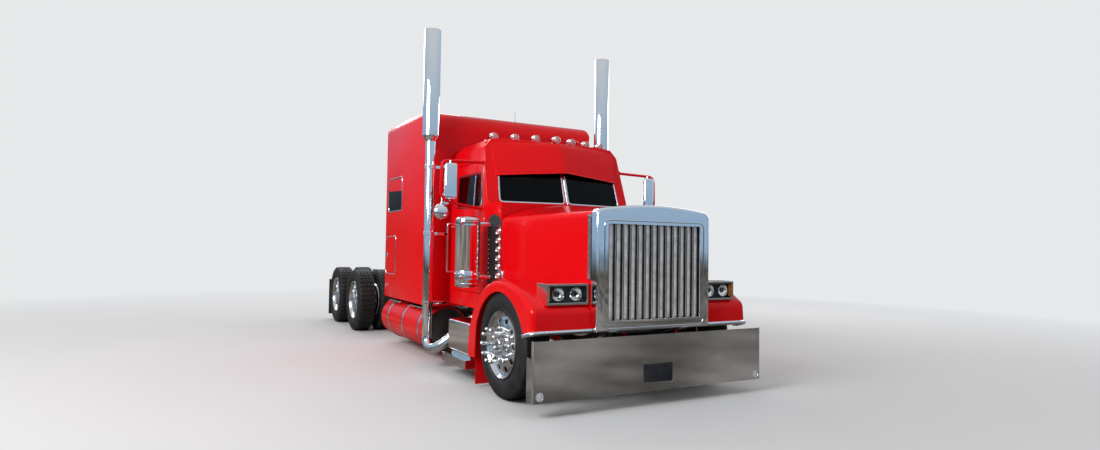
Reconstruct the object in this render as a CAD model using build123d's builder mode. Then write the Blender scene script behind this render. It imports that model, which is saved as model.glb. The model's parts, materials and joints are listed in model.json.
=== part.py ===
from build123d import *
import os
from math import atan2, cos, radians, sin

os.makedirs("parts", exist_ok=True)

# A long-nose highway tractor with a sleeper, in millimetres.
# X runs across the truck (its right side is -X), the nose points to -Y, Z is up.
# Stations are lengths back from the bumper's face, and at() turns one into a Y.
# Sizes marked half are measured from the truck's middle plane.

LENGTH = 8100.0
TYRE_RADIUS = 478.5
AXLE_HEIGHT = TYRE_RADIUS
FRONT_AXLE = 787.0
DRIVE_AXLES = (6180.0, 7500.0)
SIDES = (("left", 1), ("right", -1))

# Frame
RAIL_HALF = 430.0
RAIL_FLANGE = 85.0
RAIL_BOTTOM = 640.0
RAIL_TOP = 900.0
RAIL_WALL = 10.0
RAIL_START = 134.0
RAIL_END = 8020.0
CROSSMEMBERS = (175.0, 2270.0, 3300.0, 4400.0, 5600.0, 6840.0, 7960.0)

# Bumper
BUMPER_HALF = 1220.0
BUMPER_BOTTOM = 125.0
BUMPER_TOP = 606.0
BUMPER_RETURN = 108.0
BUMPER_RETURN_TOP = 473.0
BUMPER_WALL = 8.0
PLATE_WIDTH = 316.0
PLATE_HEIGHT = 164.0
PLATE_CENTRE_HEIGHT = 278.0
PLATE_POCKET = 2.5
FOG_X = 1156.0
FOG_HEIGHT = 178.0
FOG_HOLE = 41.0

# Hood, fenders and grille
HOOD_FRONT = 128.0
HOOD_REAR = 1498.0
HOOD_WALL = 12.0
HOOD_FRONT_HALF = 600.0
HOOD_REAR_HALF = 800.0
FENDER_HALF = 1162.0
FENDER_INNER_HALF = 905.0
ARCH_FRONT = (287.0, 606.0)
ARCH_TOP = 945.0
ARCH_REAR = (1277.0, 578.0)
FENDER_WALL = 13.0
FENDER_CROWN = 1052.0
FLAP_STATION = 1336.0
FLAP_HALF = 1132.0
HOOD_PIVOT_STATION = 60.0
HOOD_PIVOT_HEIGHT = 630.0
GRILLE_FRONT = 38.0
GRILLE_HALF = 612.0
GRILLE_BOTTOM = 640.0
GRILLE_SHOULDER = 1668.0
GRILLE_TOP = 1718.0
GRILLE_OPENING_HALF = 500.0
GRILLE_OPENING_BOTTOM = 735.0
GRILLE_OPENING_TOP = 1545.0
LOUVERS = 13

# Headlamp pods
POD_FRONT = 150.0
POD_REAR = 330.0
POD_INNER = 622.0
POD_OUTER = 1020.0
POD_BOTTOM = 868.0
POD_TOP = 1042.0

# Cab
CAB_FRONT = 1510.0
CAB_REAR = 2715.0
CAB_HALF = 885.0
CAB_COWL_HALF = 800.0
CAB_ROOF_HALF = 842.0
CAB_BOTTOM = 690.0
CAB_WAIST = 1750.0
CAB_EAVE = 2400.0
CAB_ROOF = 2535.0
CAB_WALL = 48.0
FLOOR_BOTTOM = 912.0
FLOOR_TOP = 948.0
COWL_TOP = 1790.0
SCREEN_BASE = 1570.0
SCREEN_SWEEP = 110.0
SCREEN_RAKE = 0.305
DOOR_FRONT = 1745.0
DOOR_REAR = 2640.0
DOOR_BOTTOM = 850.0
DOOR_TOP = 2250.0
DOOR_GAP = 6.0
GLASS = 6.0

# Sleeper
SLEEPER_FRONT = 2820.0
SLEEPER_REAR = 4780.0
SLEEPER_HALF = 1092.0
SLEEPER_BOTTOM = 642.0
SLEEPER_FRONT_ROOF = 2945.0
SLEEPER_REAR_ROOF = 3050.0
SLEEPER_WALL = 38.0
HATCH_FRONT = 4230.0
HATCH_REAR = 4700.0
HATCH_BOTTOM = 950.0
HATCH_TOP = 1478.0

# Wheels
TYRE_WIDTH = 272.0
RIM_RADIUS = 298.0
BEAD_RADIUS = 283.0
BOLT_CIRCLE = 142.9
LUGS = 10
STEER_TYRE_X = 1005.0
KINGPIN_X = 925.0
DUAL_OUTER_X = 1078.0
DUAL_INNER_X = 738.0
SPINDLE_RADIUS = 40.0
RUNNING_GAP = 0.05

# Stacks and side gear
STACK_X = 1160.0
STACK_STATION = 2680.0
STACK_TOP = 3813.0
STACK_RADIUS = 95.0
PIPE_RADIUS = 58.0
PIPE_JOINT = 2530.0


def at(station):
    """The Y of a station."""
    return station - LENGTH / 2


def cross(station):
    """The plane across the truck at a station: local x is X, local y is Z, facing forward."""
    return Plane(origin=(0, at(station), 0), x_dir=(1, 0, 0), z_dir=(0, -1, 0))


def side(x):
    """The plane along the truck at an X: local x is Y, local y is Z, facing +X."""
    return Plane(origin=(x, 0, 0), x_dir=(0, 1, 0), z_dir=(1, 0, 0))


def spot(station, height):
    """A point of a side plane."""
    return (at(station), height)


# Frame: two channel rails joined by crossmembers.
with BuildPart() as frame_rails:
    with BuildSketch(cross(RAIL_START)):
        with Locations((RAIL_HALF - RAIL_FLANGE / 2, (RAIL_TOP + RAIL_BOTTOM) / 2)):
            Rectangle(RAIL_FLANGE, RAIL_TOP - RAIL_BOTTOM)
        with Locations((RAIL_HALF - RAIL_WALL - RAIL_FLANGE / 2, (RAIL_TOP + RAIL_BOTTOM) / 2)):
            Rectangle(RAIL_FLANGE, RAIL_TOP - RAIL_BOTTOM - 2 * RAIL_WALL, mode=Mode.SUBTRACT)
    extrude(amount=-(RAIL_END - RAIL_START))
    mirror(about=Plane.YZ)
    for station in CROSSMEMBERS:
        with Locations((0, at(station), (RAIL_TOP + RAIL_BOTTOM) / 2)):
            Box(2 * (RAIL_HALF - RAIL_WALL), 70, RAIL_TOP - RAIL_BOTTOM - 2 * RAIL_WALL)
frame_rails.part.label = "frame_rails"
export_step(frame_rails.part, "parts/frame_rails.step")

# Front axle: a dropped beam with a boss and kingpin at each end, on two leaf springs.
BOSS_BOTTOM = AXLE_HEIGHT - 82.5
BOSS_TOP = AXLE_HEIGHT + 82.5
EAR_GAP = 5.5
KINGPIN_RADIUS = 20.0
SPRING_HALF = 385.0
SPRING_WIDTH = 76.0
SPRING_FRONT = 330.0
SPRING_REAR = 1290.0
BEAM_BOTTOM = 370.0
BEAM_TOP = 470.0
BEAM_DEPTH = 90.0
with BuildPart() as front_axle:
    with BuildSketch(cross(FRONT_AXLE + BEAM_DEPTH / 2)):
        with BuildLine():
            Polyline((-KINGPIN_X, BEAM_TOP + 60), (-KINGPIN_X, BEAM_BOTTOM + 70), (-620, BEAM_BOTTOM),
                     (620, BEAM_BOTTOM), (KINGPIN_X, BEAM_BOTTOM + 70), (KINGPIN_X, BEAM_TOP + 60),
                     (600, BEAM_TOP), (-600, BEAM_TOP), close=True)
        make_face()
    extrude(amount=BEAM_DEPTH)
    with Locations((KINGPIN_X, at(FRONT_AXLE), BOSS_BOTTOM), (-KINGPIN_X, at(FRONT_AXLE), BOSS_BOTTOM)):
        Cylinder(48, BOSS_TOP - BOSS_BOTTOM, align=(Align.CENTER, Align.CENTER, Align.MIN))
    with Locations((KINGPIN_X, at(FRONT_AXLE), BOSS_BOTTOM - 50), (-KINGPIN_X, at(FRONT_AXLE), BOSS_BOTTOM - 50)):
        Cylinder(KINGPIN_RADIUS, BOSS_TOP - BOSS_BOTTOM + 100, align=(Align.CENTER, Align.CENTER, Align.MIN))
    with BuildSketch(side(SPRING_HALF - SPRING_WIDTH / 2)):
        with BuildLine():
            ThreePointArc(spot(SPRING_FRONT, 590), spot(FRONT_AXLE, BEAM_TOP), spot(SPRING_REAR, 590))
            Line(spot(SPRING_REAR, 590), spot(SPRING_REAR, 628))
            ThreePointArc(spot(SPRING_REAR, 628), spot(FRONT_AXLE, BEAM_TOP + 50), spot(SPRING_FRONT, 628))
            Line(spot(SPRING_FRONT, 628), spot(SPRING_FRONT, 590))
        make_face()
    extrude(amount=SPRING_WIDTH)
    with Locations((SPRING_HALF, at(SPRING_FRONT), 600), (SPRING_HALF, at(SPRING_REAR), 600)):
        Box(70, 90, 40, align=(Align.CENTER, Align.CENTER, Align.MIN))
    mirror(about=Plane.YZ)
front_axle.part.label = "front_axle"
export_step(front_axle.part, "parts/front_axle.step")

# Engine with its gearbox behind, one block at its real place and size.
with BuildPart() as engine:
    with Locations((0, at(950), 560)):
        Box(640, 960, 780, align=(Align.CENTER, Align.CENTER, Align.MIN))
    with Locations((0, at(1430), 560)):
        Box(420, 780, 320, align=(Align.CENTER, Align.MIN, Align.MIN))
engine.part.label = "engine"
export_step(engine.part, "parts/engine.step")

# Bumper: a deep square sheet with short side returns, hung on two brackets.
with BuildPart() as bumper:
    with BuildSketch(Plane.XY.offset(BUMPER_BOTTOM)):
        with Locations((0, at(BUMPER_RETURN / 2))):
            Rectangle(2 * BUMPER_HALF, BUMPER_RETURN)
    extrude(amount=BUMPER_TOP - BUMPER_BOTTOM)
    fillet(bumper.edges().filter_by(Axis.Z).group_by(Axis.Y)[0], 20)
    with BuildSketch(Plane.XY.offset(BUMPER_BOTTOM - 1)):
        with Locations((0, at(BUMPER_RETURN / 2 + BUMPER_WALL))):
            Rectangle(2 * (BUMPER_HALF - BUMPER_WALL), BUMPER_RETURN)
    extrude(amount=BUMPER_TOP - BUMPER_BOTTOM + 2, mode=Mode.SUBTRACT)
    with Locations((0, at(BUMPER_WALL + 22), BUMPER_RETURN_TOP)):
        Box(2 * BUMPER_HALF + 2, BUMPER_RETURN, 300, align=(Align.CENTER, Align.MIN, Align.MIN), mode=Mode.SUBTRACT)
    for sign in (1, -1):
        with BuildSketch(side(sign * (RAIL_HALF - RAIL_FLANGE / 2))):
            with BuildLine():
                Polyline(spot(BUMPER_WALL - 1, 480), spot(BUMPER_WALL - 1, 580), spot(140, 580), spot(140, RAIL_BOTTOM),
                         spot(200, RAIL_BOTTOM), spot(200, 480), close=True)
            make_face()
        extrude(amount=RAIL_FLANGE / 2, both=True)
    with BuildSketch(cross(-1)):
        with Locations((0, PLATE_CENTRE_HEIGHT)):
            RectangleRounded(PLATE_WIDTH, PLATE_HEIGHT, 10)
    extrude(amount=-(1 + PLATE_POCKET), mode=Mode.SUBTRACT)
    with BuildSketch(cross(-1)):
        with Locations((FOG_X, FOG_HEIGHT), (-FOG_X, FOG_HEIGHT)):
            Circle(FOG_HOLE)
    extrude(amount=-(2 + BUMPER_WALL), mode=Mode.SUBTRACT)
bumper.part.label = "bumper"
export_step(bumper.part, "parts/bumper.step")

# Fog lamps: each a lens in the bumper's hole, a flange on the sheet's back and a bowl behind it.
with BuildPart() as fog_lamps:
    for radius, front, rear in ((FOG_HOLE - 0.5, 2.0, BUMPER_WALL), (FOG_HOLE + 6, BUMPER_WALL, BUMPER_WALL + 6),
                                (FOG_HOLE - 4, BUMPER_WALL + 6, 46.0)):
        with BuildSketch(cross(front)):
            with Locations((FOG_X, FOG_HEIGHT), (-FOG_X, FOG_HEIGHT)):
                Circle(radius)
        extrude(amount=-(rear - front))
fog_lamps.part.label = "fog_lamps"
export_step(fog_lamps.part, "parts/fog_lamps.step")


def hood_section(station, half, bottom, shoulder, top, corner, shrink):
    """A crowned section of the hood, drawn smaller by shrink for its inner face."""
    with BuildSketch(cross(station)) as section:
        with BuildLine():
            Polyline((-(half - shrink), shoulder - shrink), (-(half - shrink), bottom), (half - shrink, bottom),
                     (half - shrink, shoulder - shrink))
            ThreePointArc((half - shrink, shoulder - shrink), (0, top - shrink), (-(half - shrink), shoulder - shrink))
        make_face()
        fillet(section.vertices().group_by(Axis.Y)[-1], corner)
    return section


# Hood: a lofted crowned centre with a pontoon fender each side, open below.
with BuildPart() as hood_space:
    front_inner = hood_section(HOOD_FRONT - 30, HOOD_FRONT_HALF - 4, 500, 1646, 1694, 60, HOOD_WALL)
    rear_inner = hood_section(HOOD_REAR + 30, HOOD_REAR_HALF + 4, 500, 1634, 1792, 80, HOOD_WALL)
    loft([front_inner.sketch, rear_inner.sketch])

COWL_CLEARANCE = 815.0
FENDER_SWEEP = HOOD_REAR - FRONT_AXLE


def fender_arcs(front, front_height, rear, crown):
    """The fender's top line: an arc from its front up to the level crown, and a quarter circle down to its rear."""
    run = FRONT_AXLE - front
    drop = crown - front_height
    radius = (run * run + drop * drop) / (2 * drop)
    half = atan2(run, radius - drop) / 2
    sweep = rear - FRONT_AXLE
    ThreePointArc(spot(front, front_height), spot(FRONT_AXLE - radius * sin(half), crown - radius * (1 - cos(half))),
                  spot(FRONT_AXLE, crown))
    eighth = sweep * sin(radians(45))
    ThreePointArc(spot(FRONT_AXLE, crown), spot(FRONT_AXLE + eighth, crown - sweep + eighth), spot(rear, crown - sweep))


with BuildPart() as fender_form:
    with BuildSketch(side(-FENDER_HALF)):
        with BuildLine():
            Line(spot(HOOD_FRONT, 642), spot(HOOD_FRONT + 14, 830))
            fender_arcs(HOOD_FRONT + 14, 830, HOOD_REAR, FENDER_CROWN)
            Polyline(spot(HOOD_REAR, FENDER_CROWN - FENDER_SWEEP), spot(HOOD_REAR, 290), spot(1300, 290),
                     spot(HOOD_FRONT, 642))
        make_face()
    extrude(amount=2 * FENDER_HALF)
    corner = fender_form.edges().filter_by(Axis.X).sort_by_distance((0, *spot(HOOD_FRONT + 14, 830)))[0]
    fillet(corner, 90)
    outer_edges = fender_form.faces().filter_by(Axis.X).edges()
    fillet(outer_edges.filter_by(lambda edge: edge.center().Z > 700 or edge.center().Y > at(HOOD_REAR - 1)), 50)

with BuildPart() as hood_shell:
    front_outer = hood_section(HOOD_FRONT, HOOD_FRONT_HALF, 655, 1650, 1700, 60, 0)
    rear_outer = hood_section(HOOD_REAR, HOOD_REAR_HALF, 645, 1636, 1790, 80, 0)
    loft([front_outer.sketch, rear_outer.sketch])
    add(fender_form.part)
    add(hood_space.part, mode=Mode.SUBTRACT)
    with BuildSketch(side(-FENDER_HALF + FENDER_WALL)):
        with BuildLine():
            Line(spot(HOOD_FRONT + 18, 500), spot(HOOD_FRONT + 36, 792))
            fender_arcs(HOOD_FRONT + 36, 792, HOOD_REAR - FENDER_WALL, FENDER_CROWN - FENDER_WALL)
            Polyline(spot(HOOD_REAR - FENDER_WALL, FENDER_CROWN - FENDER_SWEEP), spot(HOOD_REAR - FENDER_WALL, 200),
                     spot(HOOD_FRONT + 18, 200), spot(HOOD_FRONT + 18, 500))
        make_face()
    extrude(amount=2 * (FENDER_HALF - FENDER_WALL), mode=Mode.SUBTRACT)
    with BuildSketch(side(-FENDER_HALF - 5)):
        with BuildLine():
            ThreePointArc(spot(*ARCH_FRONT), spot(FRONT_AXLE, ARCH_TOP), spot(*ARCH_REAR))
            Polyline(spot(*ARCH_REAR), spot(1296, 370), spot(1296, 200), spot(ARCH_FRONT[0], 200), spot(*ARCH_FRONT))
        make_face()
    extrude(amount=2 * FENDER_HALF + 10, mode=Mode.SUBTRACT)
    with Locations((0, at(1400), 645)):
        Box(2 * COWL_CLEARANCE, HOOD_REAR - 1400 + 50, 500, align=(Align.CENTER, Align.MIN, Align.MAX),
            mode=Mode.SUBTRACT)
    for sign in (1, -1):
        with BuildSketch(cross(FLAP_STATION)):
            with BuildLine():
                Polyline((sign * FENDER_INNER_HALF, 32), (sign * FLAP_HALF, 32), (sign * FLAP_HALF, 320),
                         (sign * (FENDER_HALF - FENDER_WALL), 320), (sign * (FENDER_HALF - FENDER_WALL), 720),
                         (sign * FENDER_INNER_HALF, 720), close=True)
            make_face()
        extrude(amount=-7)
        with Locations((sign * (POD_INNER + POD_OUTER) / 2, at(POD_FRONT), POD_BOTTOM)):
            Box(POD_OUTER - POD_INNER, POD_REAR - POD_FRONT, POD_TOP - POD_BOTTOM,
                align=(Align.CENTER, Align.MIN, Align.MIN), mode=Mode.SUBTRACT)
hood_shell.part.label = "hood_shell"
export_step(hood_shell.part, "parts/hood_shell.step")

# Grille surround: a crowned frame round the opening, with a raised inset line.
with BuildPart() as grille_surround:
    grille_outline = hood_section(HOOD_FRONT, GRILLE_HALF, GRILLE_BOTTOM, GRILLE_SHOULDER, GRILLE_TOP, 55, 0)
    extrude(grille_outline.sketch, amount=HOOD_FRONT - GRILLE_FRONT)
    fillet(grille_surround.faces().sort_by(Axis.Y)[0].edges(), 22)
    with BuildSketch(cross(HOOD_FRONT + 1)):
        with Locations((0, (GRILLE_OPENING_TOP + GRILLE_OPENING_BOTTOM) / 2)):
            RectangleRounded(2 * GRILLE_OPENING_HALF, GRILLE_OPENING_TOP - GRILLE_OPENING_BOTTOM, 12)
    extrude(amount=HOOD_FRONT - GRILLE_FRONT + 2, mode=Mode.SUBTRACT)
    with BuildSketch(cross(HOOD_FRONT + 1)):
        with Locations((0, (GRILLE_OPENING_TOP + GRILLE_OPENING_BOTTOM) / 2)):
            RectangleRounded(2 * GRILLE_OPENING_HALF + 120, GRILLE_OPENING_TOP - GRILLE_OPENING_BOTTOM + 120, 12)
    extrude(amount=HOOD_FRONT - GRILLE_FRONT - 14, mode=Mode.SUBTRACT)
grille_surround.part.label = "grille_surround"
export_step(grille_surround.part, "parts/grille_surround.step")

# Grille louvers: upright angled vanes between a head and a foot bar.
LOUVER_PITCH = 2 * GRILLE_OPENING_HALF / LOUVERS
with BuildPart() as grille_louvers:
    for i in range(LOUVERS):
        left = -GRILLE_OPENING_HALF + i * LOUVER_PITCH
        with BuildSketch(Plane.XY.offset(GRILLE_OPENING_BOTTOM)):
            with BuildLine():
                Polyline((left + 2, at(100)), (left + 2, at(59.3)), (left + 10, at(53.3)), (left + 66, at(73)),
                         (left + 66, at(78)), (left + 12, at(59.3)), (left + 6, at(63)), (left + 6, at(100)),
                         close=True)
            make_face()
        extrude(amount=GRILLE_OPENING_TOP - GRILLE_OPENING_BOTTOM)
    for height in (GRILLE_OPENING_BOTTOM - 30, GRILLE_OPENING_TOP):
        with Locations((0, at(GRILLE_FRONT + 16), height)):
            Box(2 * GRILLE_OPENING_HALF + 100, 50, 30, align=(Align.CENTER, Align.MIN, Align.MIN))
grille_louvers.part.label = "grille_louvers"
export_step(grille_louvers.part, "parts/grille_louvers.step")

# Headlamp pods: an open-fronted box each side with two round lamps in it.
with BuildPart() as headlamp_pods:
    with BuildSketch(cross(POD_REAR)):
        with Locations(((POD_INNER + POD_OUTER) / 2, (POD_BOTTOM + POD_TOP) / 2)):
            Rectangle(POD_OUTER - POD_INNER, POD_TOP - POD_BOTTOM)
    extrude(amount=POD_REAR - POD_FRONT)
    with BuildSketch(cross(POD_FRONT + 60)):
        with Locations(((POD_INNER + POD_OUTER) / 2, (POD_BOTTOM + POD_TOP) / 2)):
            RectangleRounded(POD_OUTER - POD_INNER - 36, POD_TOP - POD_BOTTOM - 36, 15)
    extrude(amount=61, mode=Mode.SUBTRACT)
    mirror(about=Plane.YZ)
headlamp_pods.part.label = "headlamp_pods"
export_step(headlamp_pods.part, "parts/headlamp_pods.step")

with BuildPart() as headlamps:
    with BuildSketch(cross(POD_FRONT + 60)):
        with Locations((720, (POD_BOTTOM + POD_TOP) / 2), (900, (POD_BOTTOM + POD_TOP) / 2)):
            Circle(55)
    extrude(amount=45)
    mirror(about=Plane.YZ)
headlamps.part.label = "headlamps"
export_step(headlamps.part, "parts/headlamps.step")


def cab_solid(shrink, floor):
    """The cab's closed form, drawn smaller by shrink, with its underside at floor."""
    rake = SCREEN_RAKE
    with BuildPart() as form:
        with BuildSketch(side(-CAB_HALF)):
            with BuildLine():
                Polyline(spot(CAB_FRONT + shrink, floor), spot(CAB_REAR - shrink, floor),
                         spot(CAB_REAR - shrink, CAB_ROOF - 60 - shrink))
                ThreePointArc(spot(CAB_REAR - shrink, CAB_ROOF - 60 - shrink), spot(2250, CAB_ROOF - shrink),
                              spot(1830 + shrink / 2, CAB_ROOF - 38 - shrink))
                Polyline(spot(1830 + shrink / 2, CAB_ROOF - 38 - shrink),
                         spot(SCREEN_BASE + shrink + rake * (2440 - COWL_TOP), 2440 - shrink),
                         spot(SCREEN_BASE + shrink, COWL_TOP - shrink), spot(CAB_FRONT + shrink, COWL_TOP - shrink),
                         spot(CAB_FRONT + shrink, floor))
            make_face()
        extrude(amount=2 * CAB_HALF)
        with BuildSketch(cross(CAB_FRONT - 100)) as front_view:
            with BuildLine():
                Polyline((CAB_HALF - shrink, floor), (CAB_HALF - shrink, CAB_WAIST), (CAB_ROOF_HALF - shrink, CAB_EAVE),
                         (CAB_ROOF_HALF - 75 - shrink, CAB_ROOF - 45 - shrink))
                ThreePointArc((CAB_ROOF_HALF - 75 - shrink, CAB_ROOF - 45 - shrink), (0, CAB_ROOF - shrink),
                              (-CAB_ROOF_HALF + 75 + shrink, CAB_ROOF - 45 - shrink))
                Polyline((-CAB_ROOF_HALF + 75 + shrink, CAB_ROOF - 45 - shrink), (-CAB_ROOF_HALF + shrink, CAB_EAVE),
                         (-CAB_HALF + shrink, CAB_WAIST), (-CAB_HALF + shrink, floor), (CAB_HALF - shrink, floor))
            make_face()
        extrude(amount=-(CAB_REAR - CAB_FRONT + 200), mode=Mode.INTERSECT)
        with BuildSketch(Plane.XY.offset(floor)):
            with BuildLine():
                Polyline((-CAB_COWL_HALF + shrink, at(CAB_FRONT)), (CAB_COWL_HALF - shrink, at(CAB_FRONT)),
                         (CAB_HALF - shrink, at(DOOR_FRONT - 10)), (CAB_HALF - shrink, at(CAB_REAR)),
                         (-CAB_HALF + shrink, at(CAB_REAR)), (-CAB_HALF + shrink, at(DOOR_FRONT - 10)), close=True)
            make_face()
        extrude(amount=CAB_ROOF, mode=Mode.INTERSECT)
        with BuildSketch(Plane.XY.offset(COWL_TOP - shrink)):
            with BuildLine():
                Polyline((0, at(SCREEN_BASE + shrink)), (1000, at(SCREEN_BASE + shrink + SCREEN_SWEEP * 1.25)),
                         (1000, at(1200)), (-1000, at(1200)),
                         (-1000, at(SCREEN_BASE + shrink + SCREEN_SWEEP * 1.25)), close=True)
            make_face()
        extrude(amount=900, dir=(0, rake, 1), mode=Mode.SUBTRACT)
    return form


def door_outline(grow):
    """The door's outline on its side plane, larger by grow."""
    with BuildSketch(side(0)) as outline:
        with BuildLine():
            Polyline(spot(DOOR_FRONT - grow, DOOR_BOTTOM - grow), spot(DOOR_REAR + grow, DOOR_BOTTOM - grow),
                     spot(DOOR_REAR + grow, DOOR_TOP + grow), spot(1850 - grow, DOOR_TOP + grow),
                     spot(DOOR_FRONT - grow, 1830 + grow / 2), close=True)
        make_face()
        fillet(outline.vertices().group_by(Axis.Y)[-1], 60)
        fillet(outline.vertices().group_by(Axis.Y)[0], 30)
    return outline


def window_outline(inset):
    """The door window's outline, smaller by inset."""
    with BuildSketch(side(0)) as outline:
        with BuildLine():
            Polyline(spot(1812 + inset, 1752 + inset), spot(2565 - inset, 1775 + inset),
                     spot(2565 - inset, 2127 - inset), spot(1895 + inset, 2127 - inset), close=True)
        make_face()
        fillet(outline.vertices(), 40)
    return outline


cab_outer = cab_solid(0, CAB_BOTTOM)
cab_inner = cab_solid(CAB_WALL, FLOOR_TOP)
cab_under = cab_solid(CAB_WALL, CAB_BOTTOM - 20)

TUNNEL_HALF = RAIL_HALF + 12
with BuildPart() as under_floor:
    add(cab_under.part)
    with Locations((0, 0, FLOOR_BOTTOM)):
        Box(3000, LENGTH, 3000, align=(Align.CENTER, Align.CENTER, Align.MIN), mode=Mode.SUBTRACT)
    with Locations((0, at(CAB_FRONT), FLOOR_BOTTOM)):
        Box(2 * TUNNEL_HALF, 2 * (CAB_REAR - CAB_FRONT) + 100, 400, align=(Align.CENTER, Align.CENTER, Align.MAX))

with BuildPart() as cab_skin:
    add(cab_outer.part)
    add(cab_inner.part, mode=Mode.SUBTRACT)
    add(under_floor.part, mode=Mode.SUBTRACT)

# Windscreen panes lie on two planes that meet at the middle.
PANE_INNER = 24.0
PANE_OUTER = 752.0
PANE_HEIGHT = 545.0
PANE_POCKET = 8.0
PANE_REBATE = 14.0


def pane_plane(sign, depth):
    """The plane of one windscreen pane, depth behind the outer face."""
    across = Vector(sign * 800, SCREEN_SWEEP, 0).normalized()
    up = Vector(0, SCREEN_RAKE, 1).normalized()
    outward = across.cross(up) * sign
    base = Vector(0, at(SCREEN_BASE), COWL_TOP) - outward.normalized() * depth
    return Plane(origin=base, x_dir=across * sign, z_dir=outward)


def pane_outline(sign, depth, inset):
    """A pane's outline on its plane, smaller by inset."""
    with BuildSketch(pane_plane(sign, depth)) as outline:
        with BuildLine():
            Polyline((sign * (PANE_INNER + inset), 22 + inset), (sign * (PANE_OUTER - inset), 22 + inset),
                     (sign * (PANE_OUTER - 32 - inset), PANE_HEIGHT - inset),
                     (sign * (PANE_INNER + inset), PANE_HEIGHT - inset), close=True)
        make_face()
        fillet(outline.vertices(), 30)
    return outline


with BuildPart() as windscreen_holes:
    for sign in (1, -1):
        outline = pane_outline(sign, 120, PANE_REBATE)
        extrude(outline.sketch, amount=140)
        outline = pane_outline(sign, PANE_POCKET, 0)
        extrude(outline.sketch, amount=PANE_POCKET + 20)

# Doorways and doors share one form: the cab's side wall inside the door's outline.
with BuildPart() as doorways:
    add(cab_outer.part)
    doorway = door_outline(0)
    extrude(doorway.sketch, amount=1200, both=True, mode=Mode.INTERSECT)
    add(cab_under.part, mode=Mode.SUBTRACT)

# Cab shell: one hollow wall with door, windscreen and sleeper openings cut through.
PASS_HALF = 330.0
PASS_BOTTOM = 1000.0
PASS_TOP = 2150.0
with BuildPart() as cab_shell:
    add(cab_skin.part)
    add(windscreen_holes.part, mode=Mode.SUBTRACT)
    add(doorways.part, mode=Mode.SUBTRACT)
    with Locations((0, at(CAB_REAR), (PASS_TOP + PASS_BOTTOM) / 2)):
        Box(2 * PASS_HALF, 200, PASS_TOP - PASS_BOTTOM, mode=Mode.SUBTRACT)
cab_shell.part.label = "cab_shell"
export_step(cab_shell.part, "parts/cab_shell.step")

# Door glass: one pane a door, in a slot in the middle of the wall's upper lean.
LEAN = (CAB_HALF - CAB_ROOF_HALF) / (CAB_EAVE - CAB_WAIST)
GLASS_DEPTH = 20.0


def lean_plane(depth):
    """The plane of the left door's upper half, depth inside its outer face."""
    outward = Vector(1, 0, LEAN).normalized()
    base = Vector(CAB_HALF, 0, CAB_WAIST) - outward * depth
    return Plane(origin=base, x_dir=(0, 1, 0), z_dir=outward)


def door_pane(grow):
    """The door glass, or its slot when larger by grow."""
    with BuildSketch(lean_plane(GLASS_DEPTH)) as outline:
        with BuildLine():
            Polyline((at(1824 - grow), 14 - grow), (at(2553 + grow), 37 - grow), (at(2553 + grow), 362 + grow),
                     (at(1902 - grow), 362 + grow), close=True)
        make_face()
        fillet(outline.vertices(), 40)
    return outline


with BuildPart() as door_left:
    add(doorways.part)
    panel = door_outline(-DOOR_GAP)
    extrude(panel.sketch, amount=1200, both=True, mode=Mode.INTERSECT)
    Box(2000, LENGTH, 6000, align=(Align.MAX, Align.CENTER, Align.CENTER), mode=Mode.SUBTRACT)
    opening = window_outline(12)
    extrude(opening.sketch, amount=1200, both=True, mode=Mode.SUBTRACT)
    slot = door_pane(0.6)
    extrude(slot.sketch, amount=GLASS, mode=Mode.SUBTRACT)
    with Locations((CAB_HALF, at(DOOR_REAR - 90), 1560)):
        Box(36, 130, 26, align=(Align.MIN, Align.CENTER, Align.CENTER))
door_left.part.label = "door_left"
export_step(door_left.part, "parts/door_left.step")

with BuildPart() as door_right:
    add(mirror(door_left.part, about=Plane.YZ, mode=Mode.PRIVATE))
door_right.part.label = "door_right"
export_step(door_right.part, "parts/door_right.step")

with BuildPart() as door_glass_left:
    pane = door_pane(0)
    extrude(pane.sketch, amount=GLASS)
door_glass_left.part.label = "door_glass_left"
export_step(door_glass_left.part, "parts/door_glass_left.step")

with BuildPart() as door_glass_right:
    add(mirror(door_glass_left.part, about=Plane.YZ, mode=Mode.PRIVATE))
door_glass_right.part.label = "door_glass_right"
export_step(door_glass_right.part, "parts/door_glass_right.step")

# Windscreen: two panes seated in their pockets.
with BuildPart() as windscreen:
    for sign in (1, -1):
        outline = pane_outline(sign, PANE_POCKET, 0.6)
        extrude(outline.sketch, amount=GLASS)
windscreen.part.label = "windscreen"
export_step(windscreen.part, "parts/windscreen.step")

# Sun visor: a deep peaked sheet over the top of the windscreen, swept back at its upper corners.
VISOR_HALF = 846.0
VISOR_WALL = 6.0
VISOR_BOTTOM = 2050.0
VISOR_TOP = 2442.0
VISOR_REAR = 1850.0
VISOR_LOWER_PEAK = 1566.0
VISOR_LOWER_SIDE = 1600.0
VISOR_UPPER_PEAK = 1634.0
VISOR_UPPER_SIDE = 1784.0
VISOR_LIP_PEAK = 2148.0
VISOR_LIP_SIDE = 2064.0


def visor_plan(height, peak, side_station, shrink):
    """The visor's outline from above at one height, drawn smaller by shrink."""
    half = VISOR_HALF - shrink
    with BuildSketch(Plane.XY.offset(height)) as plan:
        with BuildLine():
            Polyline((0, at(peak + shrink)), (half, at(side_station + shrink)), (half, at(VISOR_REAR + shrink)),
                     (-half, at(VISOR_REAR + shrink)), (-half, at(side_station + shrink)), close=True)
        make_face()
    return plan.sketch


with BuildPart() as visor_space:
    loft([visor_plan(VISOR_BOTTOM - 1, VISOR_LOWER_PEAK, VISOR_LOWER_SIDE, VISOR_WALL),
          visor_plan(VISOR_TOP - VISOR_WALL, VISOR_UPPER_PEAK, VISOR_UPPER_SIDE, VISOR_WALL)], ruled=True)

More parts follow.
